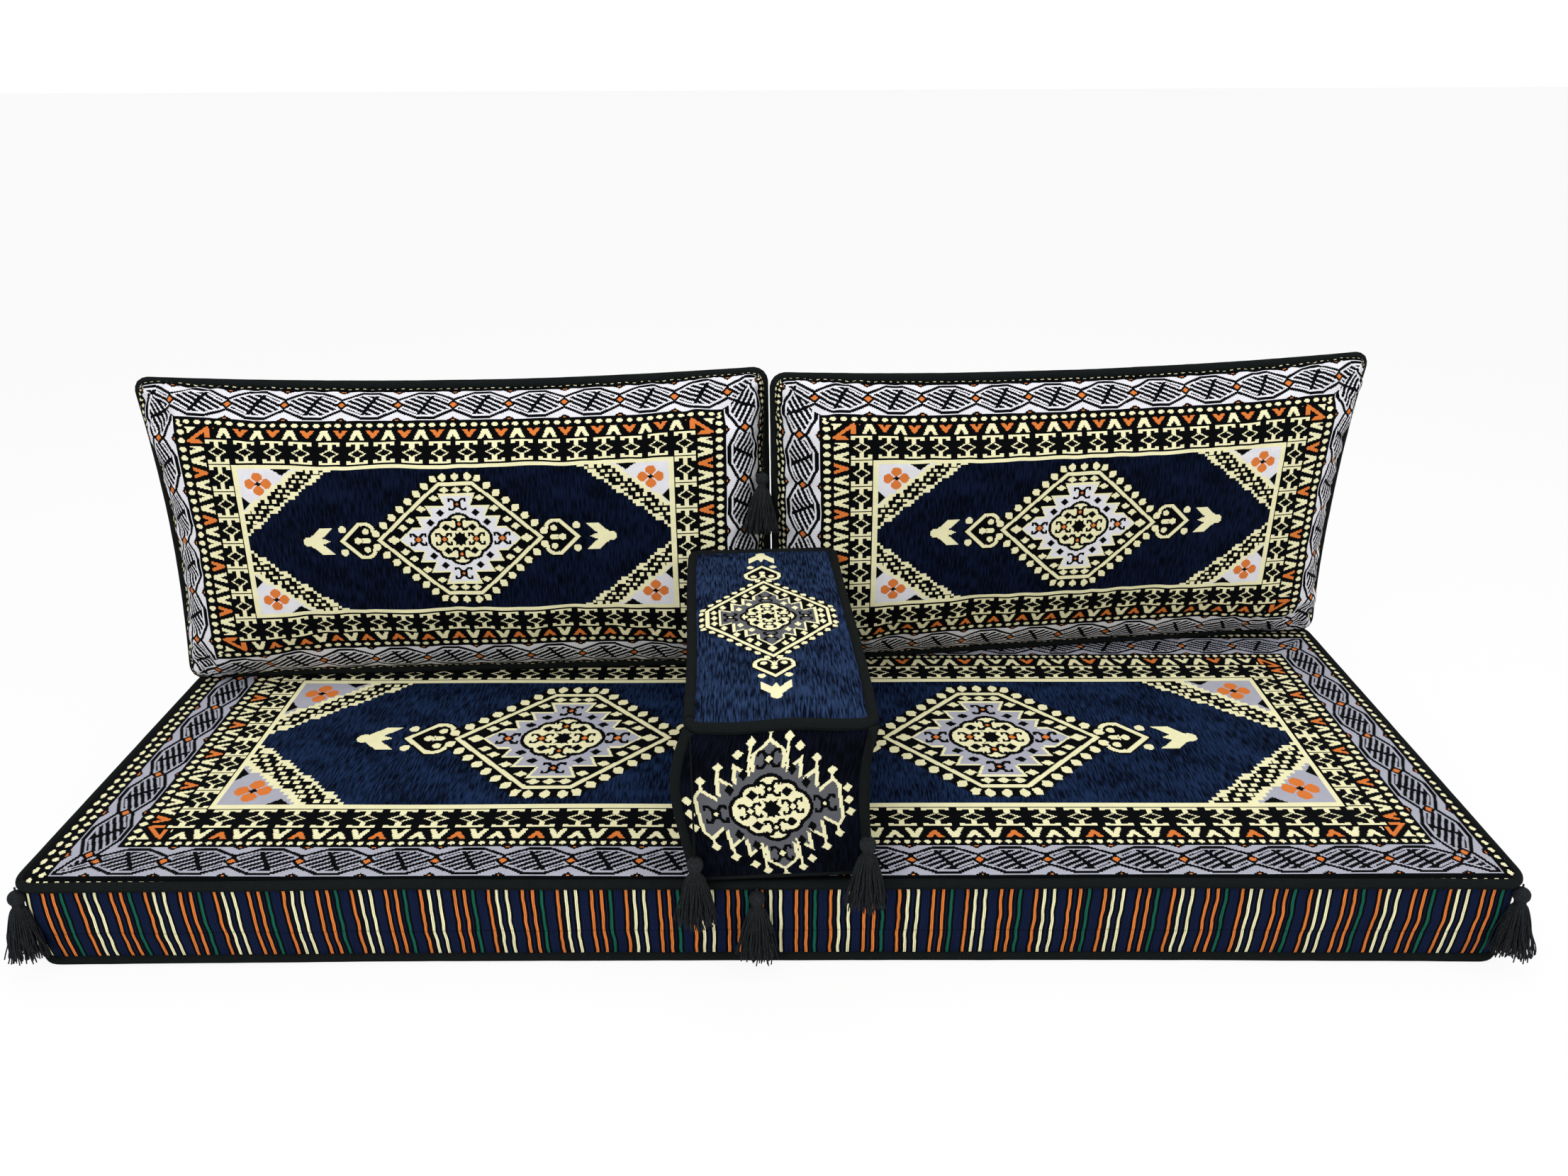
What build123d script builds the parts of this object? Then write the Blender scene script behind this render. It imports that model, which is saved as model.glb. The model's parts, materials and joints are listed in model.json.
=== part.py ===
from build123d import *
import math
import os

# A floor sofa: a long boxed mattress, two knife-edge back cushions standing on it
# and a boxed armrest between them, all in woven covers with corded seams, zips and tassels.
# Millimetres. The origin is the middle of the mattress's underside, +Z up, the front faces -Y.

# Mattress
mattress_length = 2000
mattress_depth = 700
mattress_height = 145
mattress_top_crown = 10
mattress_under_crown = 8
mattress_crown_inset = 34
mattress_corner_radius = 28
mattress_front_draw = 6

# Back cushions
cushion_length = 1000
cushion_height = 505
cushion_front_crown = 65
cushion_back_crown = 52
cushion_corner_radius = 18
cushion_end_draw = 12
cushion_top_draw = 14
left_cushion_place = (-505, 194)
left_cushion_turn_deg = 2.7
left_cushion_lean_deg = 8.1
right_cushion_place = (505, 274)
right_cushion_turn_deg = 6.7
right_cushion_lean_deg = 2.6

# Armrest
armrest_width = 225
armrest_length = 500
armrest_height = 236
armrest_top_crown = 12
armrest_front_crown = 14
armrest_crown_inset = 60
armrest_corner_radius = 12
armrest_place = (18, -338)
armrest_turn_deg = 3.2

# Covers
cover_thickness = 2.5
piping_diameter = 14
piping_side_count = 10
seat_gap = 0.3
crown_power = 3.6
inset_rounding_share = 0.8
most_rounding_share = 0.45
cushion_inset_shares = (0, 0.025, 0.1, 0.27, 0.6)
cushion_back_inset_shares = (0, 0.025, 0.1, 0.4)
edge_inset_shares = (0, 0.22, 1)

# Zips
zip_tape_width = 26
zip_tape_thickness = 0.8
zip_coil_width = 6
zip_coil_height = 2.4
zip_slot_width = 11
coil_arc_share = 1.05
zip_stop_length = 4
zip_stop_rise = 0.5
mattress_zip_length = 1800
cushion_zip_length = 640
cushion_zip_height = 150
armrest_zip_length = 400
armrest_zip_height = 60
slider_length = 14
slider_wall = 1.2
slider_plate = 1.5
bail_width = 2.2
bail_bar = 1.1
bail_eye_length = 4
bail_eye_height = 2.2
pull_length = 34
pull_width = 9
pull_thickness = 1.5
pull_pin_diameter = 1.4
pull_window_reach = 6.5
pull_hole_diameter = 4

# Tassels
tassel_cord_diameter = 2.6
tassel_cord_side_count = 8
tassel_neck_length = 5
knob_diameter = 21
knob_height = 20
collar_diameter = 15
collar_height = 6
skirt_length = 78
skirt_top_diameter = 16
skirt_middle_diameter = 34
skirt_end_diameter = 40
skirt_fold_count = 12
knob_side_count = 16
knob_level_count = 6
fold_depth_share = 0.85
skirt_middle_share = 0.4
corner_tassel_lean_deg = 11
centre_tassel_lean_deg = 8
centre_tassel_place = -14
armrest_tassel_inset = 2
left_armrest_cord_length = 172
left_armrest_tassel_lean_deg = 6.5
right_armrest_cord_length = 146
right_armrest_tassel_lean_deg = 10
cushion_cord_length = 128
cushion_tassel_lean_deg = 24
cushion_tassel_turn_deg = -5

cover_seat = mattress_height + seat_gap
piping_radius = piping_diameter / 2
cord_radius = tassel_cord_diameter / 2
top_seam = mattress_height - mattress_top_crown
under_seam = mattress_under_crown
overrun = 40

os.makedirs("parts", exist_ok=True)


def write(piece, name):
    """Label a finished piece and write it to its own file."""
    piece.label = name
    export_step(piece, f"parts/{name}.step")


def seam_outline(plane, length, height, radius, end_draw=0, top_draw=0, bottom_draw=0):
    """A cover's outline on a plane: four sides, drawn in towards its middle, and round corners."""
    x, y = length / 2, height / 2
    corners = [(-x, -y), (x, -y), (x, y), (-x, y)]
    with BuildSketch(plane) as outline:
        with BuildLine():
            for side, draw in enumerate((bottom_draw, end_draw, top_draw, end_draw)):
                start, end = corners[side], corners[(side + 1) % len(corners)]
                middle = (Vector(*start) + Vector(*end)) / 2
                if draw:
                    ThreePointArc(start, middle - middle.normalized() * draw, end)
                else:
                    Line(start, end)
        make_face()
        fillet(outline.vertices(), radius)
    return outline.sketch


def crown_share(inset_share):
    """How much of its full rise a cover has reached at a share of the way in from its seam."""
    return math.sqrt(1 - (1 - inset_share) ** crown_power)


def crowned(plane, size, radius, rise, reach, shares, skin=0, draws=(0, 0, 0)):
    """The swelling of a cover above its seam: outlines that shrink as they rise.

    reach is how far in from the seam the middle of the cover is, the last share of it is where
    the full rise is met, and skin leaves that much off every side, which gives the filling
    inside a cover of that thickness."""
    length, height = size
    levels = []
    for share in shares:
        inset = skin + share * (reach - skin)
        lift = (rise - skin) * crown_share(share) / crown_share(shares[-1])
        along, across = length - 2 * inset, height - 2 * inset
        most_rounding = most_rounding_share * min(along, across)
        rounding = min(radius + inset_rounding_share * inset, most_rounding)
        faded = [draw * (1 - share) for draw in draws]
        levels.append(seam_outline(plane.offset(lift), along, across, rounding, *faded).face())
    with BuildPart() as swelling:
        loft(sections=levels, ruled=True)
    return swelling.part


def corded(plane, size, radius, draws=(0, 0, 0)):
    """The half of a closed cord that stands out of the seam outline that it is sewn round."""
    path = seam_outline(plane, *size, radius, *draws).face().outer_wire()
    outward = (path % 0).cross(plane.z_dir)
    if outward.dot(path @ 0 - plane.origin) < 0:
        outward = -outward
    with BuildPart() as cord:
        with BuildSketch(Plane(origin=path @ 0, x_dir=outward, z_dir=path % 0)):
            RegularPolygon(piping_radius, piping_side_count)
            Rectangle(
                piping_radius,
                piping_diameter,
                align=(Align.MAX, Align.CENTER),
                mode=Mode.SUBTRACT,
            )
        sweep(path=path)
    return cord.part


def round_cord(path, core):
    """A whole cord along a seam, with the cover that it lies on cut away."""
    with BuildPart() as cord:
        with BuildSketch(Plane(origin=path @ 0, z_dir=path % 0)):
            RegularPolygon(piping_radius, piping_side_count)
        sweep(path=path)
        add(core, mode=Mode.SUBTRACT)
    return cord.part


def joined(*solids):
    """Several solids as one."""
    with BuildPart() as whole:
        for solid in solids:
            add(solid)
    return whole.part


def less(solid, *cutters):
    """A solid with others cut from it."""
    with BuildPart() as rest:
        add(solid)
        for cutter in cutters:
            add(cutter, mode=Mode.SUBTRACT)
    return rest.part


def block(plane, length, width, low, high, shift=0):
    """A box on a plane, centred along its length and width, from low to high above it."""
    with BuildPart() as solid:
        with BuildSketch(plane.offset(low)):
            with Locations((shift, 0)):
                Rectangle(length, width)
        extrude(amount=high - low)
    return solid.part


def zip_space(plane, length):
    """The slot in a cover over its zip, and the bed that the tapes lie in under the cover."""
    slot = block(plane, length, zip_slot_width, -cover_thickness, overrun)
    bed = block(plane, length, zip_tape_width, -cover_thickness - zip_tape_thickness, -cover_thickness)
    return slot, bed


def write_zip(name, plane, length):
    """A closed zip on a flat stretch of cover: two tapes, two rows of coil, end stops, slider, pull.

    plane lies on the cover's outside, with its X along the zip, away from the slider."""
    tape_top = -cover_thickness
    tape_low = tape_top - zip_tape_thickness
    coil_top = tape_top + zip_coil_height
    with BuildPart() as tapes:
        for side in (-1, 1):
            with BuildSketch(plane.offset(tape_low)):
                with Locations((0, side * zip_tape_width / 4)):
                    Rectangle(length, zip_tape_width / 2)
            extrude(amount=zip_tape_thickness)
    write(tapes.part, f"{name}_zip_tapes")

    # Each row of coil is a half-round ridge, flat where it meets the other row.
    coil_length = length - 2 * zip_stop_length
    end = Plane(
        origin=plane.from_local_coords((-coil_length / 2, 0, tape_top)),
        x_dir=plane.y_dir,
        z_dir=plane.x_dir,
    )
    half = zip_coil_width / 2
    with BuildPart() as teeth:
        for side in (-1, 1):
            with BuildSketch(end):
                with BuildLine():
                    Line((0, 0), (side * half, 0))
                    RadiusArc((side * half, 0), (0, zip_coil_height), -side * half * coil_arc_share)
                    Line((0, zip_coil_height), (0, 0))
                make_face()
            extrude(amount=coil_length)
        for side in (-1, 1):
            with BuildSketch(plane.offset(tape_top)):
                with Locations((side * (length - zip_stop_length) / 2, 0)):
                    Rectangle(zip_stop_length, zip_coil_width)
            extrude(amount=zip_coil_height + zip_stop_rise)
    write(teeth.part, f"{name}_zip_teeth")
    write_slider(name, plane, length, tape_top, coil_top)


def write_slider(name, plane, length, tape_top, coil_top):
    """The slider, a channel over the coil with a bail on its back, and the pull that hangs in it."""
    start = -length / 2 + zip_stop_length + seat_gap + slider_length / 2
    at = Plane(origin=plane.from_local_coords((start, 0, 0)), x_dir=plane.x_dir, z_dir=plane.z_dir)
    inner = zip_coil_width / 2 + seat_gap
    outer = inner + slider_wall
    foot = tape_top + seat_gap
    roof = coil_top + seat_gap
    back = roof + slider_plate
    with BuildPart() as slider:
        with BuildSketch(at.offset(foot)):
            SlotOverall(slider_length, 2 * outer)
        extrude(amount=back - foot)
        add(block(at, slider_length * 2, 2 * inner, foot, roof), mode=Mode.SUBTRACT)
        bail_side = Plane(
            origin=at.from_local_coords((0, bail_width / 2, back)), x_dir=at.x_dir, z_dir=-at.y_dir
        )
        bail_length = bail_eye_length + 2 * bail_bar
        bail_height = bail_eye_height + bail_bar
        with BuildSketch(bail_side):
            with Locations((0, bail_height / 2)):
                Rectangle(bail_length, bail_height)
            with Locations((0, bail_eye_height / 2)):
                Rectangle(bail_eye_length, bail_eye_height, mode=Mode.SUBTRACT)
        extrude(amount=bail_width)
    write(slider.part, f"{name}_zip_slider")

    # The pull turns on a pin through the bail's eye and lies back along the teeth.
    pin_height = back + bail_eye_height / 2
    pull_plane = at.offset(pin_height - pull_thickness / 2)
    window_width = bail_width + 4 * seat_gap
    with BuildPart() as pull:
        with BuildSketch(pull_plane):
            with BuildLine():
                reach = pull_length - pull_width / 2
                Line((0, -pull_width / 2), (reach, -pull_width / 2))
                TangentArc((reach, -pull_width / 2), (reach, pull_width / 2), tangent=(1, 0))
                Line((reach, pull_width / 2), (0, pull_width / 2))
                Line((0, pull_width / 2), (0, -pull_width / 2))
            make_face()
            with Locations((pull_window_reach / 2, 0)):
                Rectangle(pull_window_reach, window_width, mode=Mode.SUBTRACT)
            with Locations((reach, 0)):
                Circle(pull_hole_diameter / 2, mode=Mode.SUBTRACT)
        extrude(amount=pull_thickness)
        across = Plane(
            origin=at.from_local_coords((0, -pull_width / 2, pin_height)),
            x_dir=at.x_dir,
            z_dir=at.y_dir,
        )
        with BuildSketch(across):
            Circle(pull_pin_diameter / 2)
        extrude(amount=pull_width)
    write(pull.part, f"{name}_zip_pull")
    pin = at.from_local_coords((0, 0, pin_height))
    print(name, "pull pin", tuple(round(v, 3) for v in pin), "travel along", plane.x_dir)
    travel = length - 2 * zip_stop_length - slider_length - 2 * seat_gap
    print(name, "slider travel", round(travel, 3), "pull axis", plane.y_dir)


def skirt_ring(plane, diameter):
    """One ring of a tassel's skirt on a plane, folded like the bundled yarn."""
    outer = diameter / 2
    points = []
    for fold in range(2 * skirt_fold_count):
        radius = outer if fold % 2 == 0 else outer * fold_depth_share
        angle = math.pi * fold / skirt_fold_count
        points.append((radius * math.cos(angle), radius * math.sin(angle)))
    with BuildSketch(plane) as ring:
        Polygon(*points, align=None)
    return ring.sketch.face()


def write_tassel(name, pivot, down, cord_length):
    """A yarn tassel on its cord: a bound knob, a wound collar and a folded skirt.

    pivot is where the cord is sewn on, down the way that the tassel hangs from there."""
    hang = Plane(origin=pivot, x_dir=(1, 0, 0), z_dir=down)
    # The knob is a ball that stops where it has narrowed to the collar.
    last_angle = math.pi - math.asin(collar_diameter / knob_diameter)
    knob_scale = knob_height / (1 - math.cos(last_angle))
    knob_top = cord_length
    collar_top = knob_top + knob_height
    skirt_top = collar_top + collar_height
    skirt_end = skirt_top + skirt_length
    cord_end = knob_top + knob_scale * (1 - math.cos(last_angle / knob_level_count))
    with BuildPart() as cord:
        with BuildSketch(hang):
            RegularPolygon(cord_radius, tassel_cord_side_count)
        extrude(amount=cord_end)
    knob_rings = []
    for level in range(1, knob_level_count + 1):
        angle = last_angle * level / knob_level_count
        ring_plane = hang.offset(knob_top + knob_scale * (1 - math.cos(angle)))
        with BuildSketch(ring_plane) as knob_ring:
            RegularPolygon(knob_diameter / 2 * math.sin(angle), knob_side_count)
        knob_rings.append(knob_ring.sketch.face())
    with BuildPart() as knob:
        loft(sections=knob_rings, ruled=True)
    with BuildPart() as collar:
        with BuildSketch(hang.offset(collar_top)):
            RegularPolygon(collar_diameter / 2, knob_side_count)
        extrude(amount=collar_height)
    skirt_middle = skirt_top + skirt_middle_share * skirt_length
    rings = [
        skirt_ring(hang.offset(skirt_top), skirt_top_diameter),
        skirt_ring(hang.offset(skirt_middle), skirt_middle_diameter),
        skirt_ring(hang.offset(skirt_end), skirt_end_diameter),
    ]
    with BuildPart() as skirt:
        loft(sections=rings, ruled=True)
    pieces = [knob.part, collar.part, skirt.part]
    if cord_length > tassel_neck_length:
        write(cord.part, f"{name}_cord")
    else:
        pieces.insert(0, cord.part)
    write(Compound(children=pieces), name)
    print(name, "pivot", tuple(round(v, 3) for v in pivot), "down", tuple(round(v, 4) for v in down))


def leaning_down(lean_deg, turn_deg=0):
    """The way a tassel hangs when what is behind it holds it out by lean_deg."""
    lean, turn = math.radians(lean_deg), math.radians(turn_deg)
    return Vector(
        math.sin(lean) * math.sin(turn), -math.sin(lean) * math.cos(turn), -math.cos(lean)
    )


# Mattress: a foam block in a boxed cover. The front band is two strips joined at the middle,
# the back band two strips with the zip between them.
mattress_size = (mattress_length, mattress_depth)
mattress_draws = (0, 0, mattress_front_draw)
top_plane = Plane.XY.offset(top_seam)
under_plane = Plane(origin=(0, 0, under_seam), x_dir=(-1, 0, 0), z_dir=(0, 0, -1))


def mattress_swelling(plane, rise, skin):
    return crowned(
        plane,
        mattress_size,
        mattress_corner_radius,
        rise,
        mattress_crown_inset,
        edge_inset_shares,
        skin,
        mattress_draws,
    )


def mattress_slab(skin):
    base = seam_outline(
        Plane.XY.offset(under_seam),
        mattress_length - 2 * skin,
        mattress_depth - 2 * skin,
        mattress_corner_radius - skin,
        *mattress_draws,
    )
    with BuildPart() as slab:
        extrude(base, amount=top_seam - under_seam)
    return slab.part


mattress_zip_plane = Plane(
    origin=(0, mattress_depth / 2, (top_seam + under_seam) / 2), x_dir=(1, 0, 0), z_dir=(0, 1, 0)
)
mattress_slot, mattress_tape_bed = zip_space(mattress_zip_plane, mattress_zip_length)
top_outer = mattress_swelling(top_plane, mattress_top_crown, 0)
top_inner = mattress_swelling(top_plane, mattress_top_crown, cover_thickness)
under_outer = mattress_swelling(under_plane, mattress_under_crown, 0)
under_inner = mattress_swelling(under_plane, mattress_under_crown, cover_thickness)
slab_outer = mattress_slab(0)
slab_inner = mattress_slab(cover_thickness)
write(less(top_outer, top_inner), "mattress_top_panel")
write(less(under_outer, under_inner), "mattress_bottom_panel")
write(less(joined(slab_inner, top_inner, under_inner), mattress_tape_bed), "mattress_foam_core")

band = less(slab_outer, slab_inner)
back_strip_length = mattress_length - 2 * mattress_corner_radius
with BuildPart() as rear_side:
    with BuildSketch(Plane.XY):
        with Locations((0, mattress_depth / 2)):
            Rectangle(back_strip_length, mattress_depth)
    extrude(amount=mattress_height)
for side, keep in (("left", Keep.BOTTOM), ("right", Keep.TOP)):
    with BuildPart() as front_band:
        add(band)
        add(rear_side.part, mode=Mode.SUBTRACT)
        split(bisect_by=Plane.YZ, keep=keep)
    write(front_band.part, f"mattress_front_band_{side}")
for level, keep in (("lower", Keep.BOTTOM), ("upper", Keep.TOP)):
    with BuildPart() as rear_band:
        add(band)
        add(rear_side.part, mode=Mode.INTERSECT)
        add(mattress_slot, mode=Mode.SUBTRACT)
        split(bisect_by=Plane.XY.offset((top_seam + under_seam) / 2), keep=keep)
    write(rear_band.part, f"mattress_rear_band_{level}")

for name, height in (("top", top_seam), ("bottom", under_seam)):
    cord = corded(Plane.XY.offset(height), mattress_size, mattress_corner_radius, mattress_draws)
    write(cord, f"mattress_{name}_piping")
write_zip("mattress", mattress_zip_plane, mattress_zip_length)

# Back cushions: knife-edge pillows, flatter at the back, each standing on its lower seam.
cushion_size = (cushion_length, cushion_height)
cushion_draws = (cushion_end_draw, cushion_top_draw, 0)


def cushion_frame(place, turn_deg, lean_deg):
    """The seam's plane: centred on the cushion, X to the right, Y up, Z out of its front."""
    turn, lean = math.radians(turn_deg), math.radians(lean_deg)
    right = Vector(math.cos(turn), math.sin(turn), 0)
    front = Vector(
        math.cos(lean) * math.sin(turn), -math.cos(lean) * math.cos(turn), math.sin(lean)
    )
    foot = Vector(*place, cover_seat + piping_radius)
    up = front.cross(right)
    return Plane(origin=foot + up * (cushion_height / 2), x_dir=right, z_dir=front)


def cushion_half(plane, rise, shares, skin):
    return crowned(
        plane,
        cushion_size,
        cushion_corner_radius,
        rise,
        cushion_height / 2,
        shares,
        skin,
        cushion_draws,
    )


def write_cushion(name, place, turn_deg, lean_deg):
    front = cushion_frame(place, turn_deg, lean_deg)
    back = Plane(origin=front.origin, x_dir=-front.x_dir, z_dir=-front.z_dir)
    halves = {}
    for side, plane, rise, shares in (
        ("front", front, cushion_front_crown, cushion_inset_shares),
        ("back", back, cushion_back_crown, cushion_back_inset_shares),
    ):
        for skin in (0, cover_thickness):
            halves[side, skin] = cushion_half(plane, rise, shares, skin)
    zip_low = cushion_zip_height - cushion_height / 2
    zip_plane = Plane(
        origin=back.from_local_coords((0, zip_low, cushion_back_crown)),
        x_dir=back.x_dir,
        z_dir=back.z_dir,
    )
    slot, bed = zip_space(zip_plane, cushion_zip_length)
    write(less(halves["front", 0], halves["front", cover_thickness]), f"{name}_front_panel")
    write(less(halves["back", 0], halves["back", cover_thickness], slot, bed), f"{name}_back_panel")
    filling = joined(halves["front", cover_thickness], halves["back", cover_thickness])
    write(less(filling, bed), f"{name}_filling")
    write(corded(front, cushion_size, cushion_corner_radius, cushion_draws), f"{name}_piping")
    write_zip(name, zip_plane, cushion_zip_length)
    return front


left_frame = write_cushion(
    "left_cushion", left_cushion_place, left_cushion_turn_deg, left_cushion_lean_deg
)
write_cushion("right_cushion", right_cushion_place, right_cushion_turn_deg, right_cushion_lean_deg)

# Armrest: a boxed block whose top and front swell, corded round the top and down the front.
armrest_turn = math.radians(armrest_turn_deg)
armrest_floor = Plane(
    origin=(*armrest_place, cover_seat),
    x_dir=(math.cos(armrest_turn), math.sin(armrest_turn), 0),
    z_dir=(0, 0, 1),
)


def on_armrest(across, back, up, x_dir, z_dir):
    return Plane(
        origin=armrest_floor.from_local_coords((across, back, up)), x_dir=x_dir, z_dir=z_dir
    )


arm_top = on_armrest(0, armrest_length / 2, armrest_height, armrest_floor.x_dir, (0, 0, 1))
arm_front = on_armrest(0, 0, armrest_height / 2, armrest_floor.x_dir, -armrest_floor.y_dir)
arm_middle = on_armrest(0, armrest_length / 2, 0, armrest_floor.x_dir, (0, 0, 1))
arm_crowns = {}
for side, plane, size, rise in (
    ("top", arm_top, (armrest_width, armrest_length), armrest_top_crown),
    ("front", arm_front, (armrest_width, armrest_height), armrest_front_crown),
):
    for skin in (0, cover_thickness):
        arm_crowns[side, skin] = crowned(
            plane, size, armrest_corner_radius, rise, armrest_crown_inset, edge_inset_shares, skin
        )
arm_zip_plane = on_armrest(
    -armrest_width / 2, armrest_length / 2, armrest_zip_height, armrest_floor.y_dir, -armrest_floor.x_dir
)
arm_slot, arm_bed = zip_space(arm_zip_plane, armrest_zip_length)
for side in ("top", "front"):
    write(less(arm_crowns[side, 0], arm_crowns[side, cover_thickness]), f"armrest_{side}_panel")
write(block(arm_middle, armrest_width, armrest_length, 0, cover_thickness), "armrest_bottom_panel")
side_middle = (armrest_width - cover_thickness) / 2
for side, across, cutters in (("left", -side_middle, (arm_slot,)), ("right", side_middle, ())):
    panel = block(
        arm_middle, cover_thickness, armrest_length, cover_thickness, armrest_height, across
    )
    write(less(panel, *cutters), f"armrest_{side}_panel")
inner_width = armrest_width - 2 * cover_thickness
arm_back = on_armrest(0, armrest_length, 0, armrest_floor.x_dir, (0, 0, 1))
with BuildPart() as rear_panel:
    with BuildSketch(arm_back.offset(cover_thickness)):
        with Locations((0, -cover_thickness / 2)):
            Rectangle(inner_width, cover_thickness)
    extrude(amount=armrest_height - cover_thickness)
write(rear_panel.part, "armrest_rear_panel")
arm_block = less(
    block(arm_middle, inner_width, armrest_length, cover_thickness, armrest_height),
    rear_panel.part,
    arm_bed,
)
write(
    joined(arm_block, arm_crowns["top", cover_thickness], arm_crowns["front", cover_thickness]),
    "armrest_filling",
)
arm_body = joined(
    block(arm_middle, armrest_width, armrest_length, 0, armrest_height),
    arm_crowns["top", 0],
    arm_crowns["front", 0],
)
top_seam_line = seam_outline(arm_top, armrest_width, armrest_length, armrest_corner_radius)
arm_top_piping = round_cord(top_seam_line.face().outer_wire(), arm_body)
write(arm_top_piping, "armrest_top_piping")
x, z = armrest_width / 2, armrest_height / 2
with BuildLine(arm_front) as front_seam_line:
    FilletPolyline((-x, z), (-x, -z), (x, -z), (x, z), radius=armrest_corner_radius)
front_piping = less(
    round_cord(front_seam_line.line, arm_body),
    arm_top_piping,
    block(arm_middle, mattress_length, mattress_length, -overrun, 0),
)
write(front_piping, "armrest_front_piping")
write_zip("armrest", arm_zip_plane, armrest_zip_length)

# Tassels: three on the mattress's front seam, two on the armrest, one between the cushions.
reach_out = piping_radius + seat_gap + cord_radius
corner_in = mattress_corner_radius * (1 - math.sqrt(0.5)) - reach_out * math.sqrt(0.5)
corner_x = mattress_length / 2 - corner_in
corner_y = corner_in - mattress_depth / 2
centre_y = mattress_front_draw - reach_out - mattress_depth / 2
for name, place, lean_deg in (
    ("front_left_tassel", (-corner_x, corner_y), corner_tassel_lean_deg),
    ("front_middle_tassel", (centre_tassel_place, centre_y), centre_tassel_lean_deg),
    ("front_right_tassel", (corner_x, corner_y), corner_tassel_lean_deg),
):
    write_tassel(name, Vector(*place, top_seam), leaning_down(lean_deg), tassel_neck_length)
for name, side, cord_length, lean_deg in (
    ("armrest_left_tassel", -1, left_armrest_cord_length, left_armrest_tassel_lean_deg),
    ("armrest_right_tassel", 1, right_armrest_cord_length, right_armrest_tassel_lean_deg),
):
    pivot = armrest_floor.from_local_coords(
        (side * (armrest_width / 2 - armrest_tassel_inset), -reach_out, armrest_height - piping_radius)
    )
    write_tassel(name, pivot, leaning_down(lean_deg), cord_length)
pivot = left_frame.from_local_coords(
    (cushion_length / 2, cushion_height / 2 - 2 * cushion_corner_radius, reach_out)
)
write_tassel(
    "cushion_tassel",
    pivot,
    leaning_down(cushion_tassel_lean_deg, cushion_tassel_turn_deg),
    cushion_cord_length,
)
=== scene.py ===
import json
import math

import bmesh
import bpy
import numpy as np
from mathutils import Matrix, Vector


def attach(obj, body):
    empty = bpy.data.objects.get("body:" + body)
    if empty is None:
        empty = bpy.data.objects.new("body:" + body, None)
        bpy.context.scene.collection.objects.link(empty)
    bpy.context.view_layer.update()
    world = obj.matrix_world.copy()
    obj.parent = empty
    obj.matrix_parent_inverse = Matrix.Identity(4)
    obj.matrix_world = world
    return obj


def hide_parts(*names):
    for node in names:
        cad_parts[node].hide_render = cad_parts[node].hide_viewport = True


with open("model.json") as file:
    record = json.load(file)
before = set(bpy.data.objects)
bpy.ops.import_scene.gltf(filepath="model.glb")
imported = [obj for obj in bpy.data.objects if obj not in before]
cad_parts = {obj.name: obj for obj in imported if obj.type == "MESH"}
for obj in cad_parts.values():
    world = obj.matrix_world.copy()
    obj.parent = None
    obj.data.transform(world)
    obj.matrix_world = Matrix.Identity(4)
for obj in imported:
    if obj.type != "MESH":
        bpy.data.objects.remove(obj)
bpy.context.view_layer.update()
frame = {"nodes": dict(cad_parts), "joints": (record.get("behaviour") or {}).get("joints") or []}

# ---------------------------------------------------------------- Camera, floor and light
# The view is from in front, a little over a metre up, looking down on the seat.
# The floor is pale and plain, and soft panels light the cloth evenly.
image_width, focal_px = 2212, 1534
yaw, pitch, roll = math.radians(-0.18), math.radians(26.66), math.radians(-0.25)
ahead = Vector((math.sin(yaw) * math.cos(pitch), math.cos(yaw) * math.cos(pitch), -math.sin(pitch)))
level = Vector((math.cos(yaw), -math.sin(yaw), 0))
above = level.cross(ahead)
right = math.cos(roll) * level + math.sin(roll) * above
up = -math.sin(roll) * level + math.cos(roll) * above
camera = bpy.data.objects.new("camera", bpy.data.cameras.new("camera"))
camera.data.sensor_width = 36
camera.data.lens = 36 * focal_px / image_width
camera.matrix_world = Matrix((right, up, -ahead)).transposed().to_4x4()
camera.location = (0.027, -1.456, 1.132)
bpy.context.scene.collection.objects.link(camera)
bpy.context.scene.camera = camera
bpy.context.scene.view_settings.view_transform = "Standard"

room_light, backdrop_light, floor_glow, floor_reach, floor_level = 0.5, 1, 0.9, 30, -0.0005
world = bpy.data.worlds.new("studio")
world.use_nodes = True
bpy.context.scene.world = world
tree = world.node_tree
tree.nodes.clear()
out = tree.nodes.new("ShaderNodeOutputWorld")
path = tree.nodes.new("ShaderNodeLightPath")
either = tree.nodes.new("ShaderNodeMath")
either.operation = "MAXIMUM"
either.use_clamp = True
pick = tree.nodes.new("ShaderNodeMixShader")
for ray, socket in zip(("Is Camera Ray", "Is Glossy Ray"), either.inputs):
    tree.links.new(path.outputs[ray], socket)
for strength, socket in zip((room_light, backdrop_light), pick.inputs[1:]):
    white = tree.nodes.new("ShaderNodeBackground")
    white.inputs["Color"].default_value = (1, 1, 1, 1)
    white.inputs["Strength"].default_value = strength
    tree.links.new(white.outputs[0], socket)
tree.links.new(either.outputs[0], pick.inputs[0])
tree.links.new(pick.outputs[0], out.inputs[0])

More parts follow.
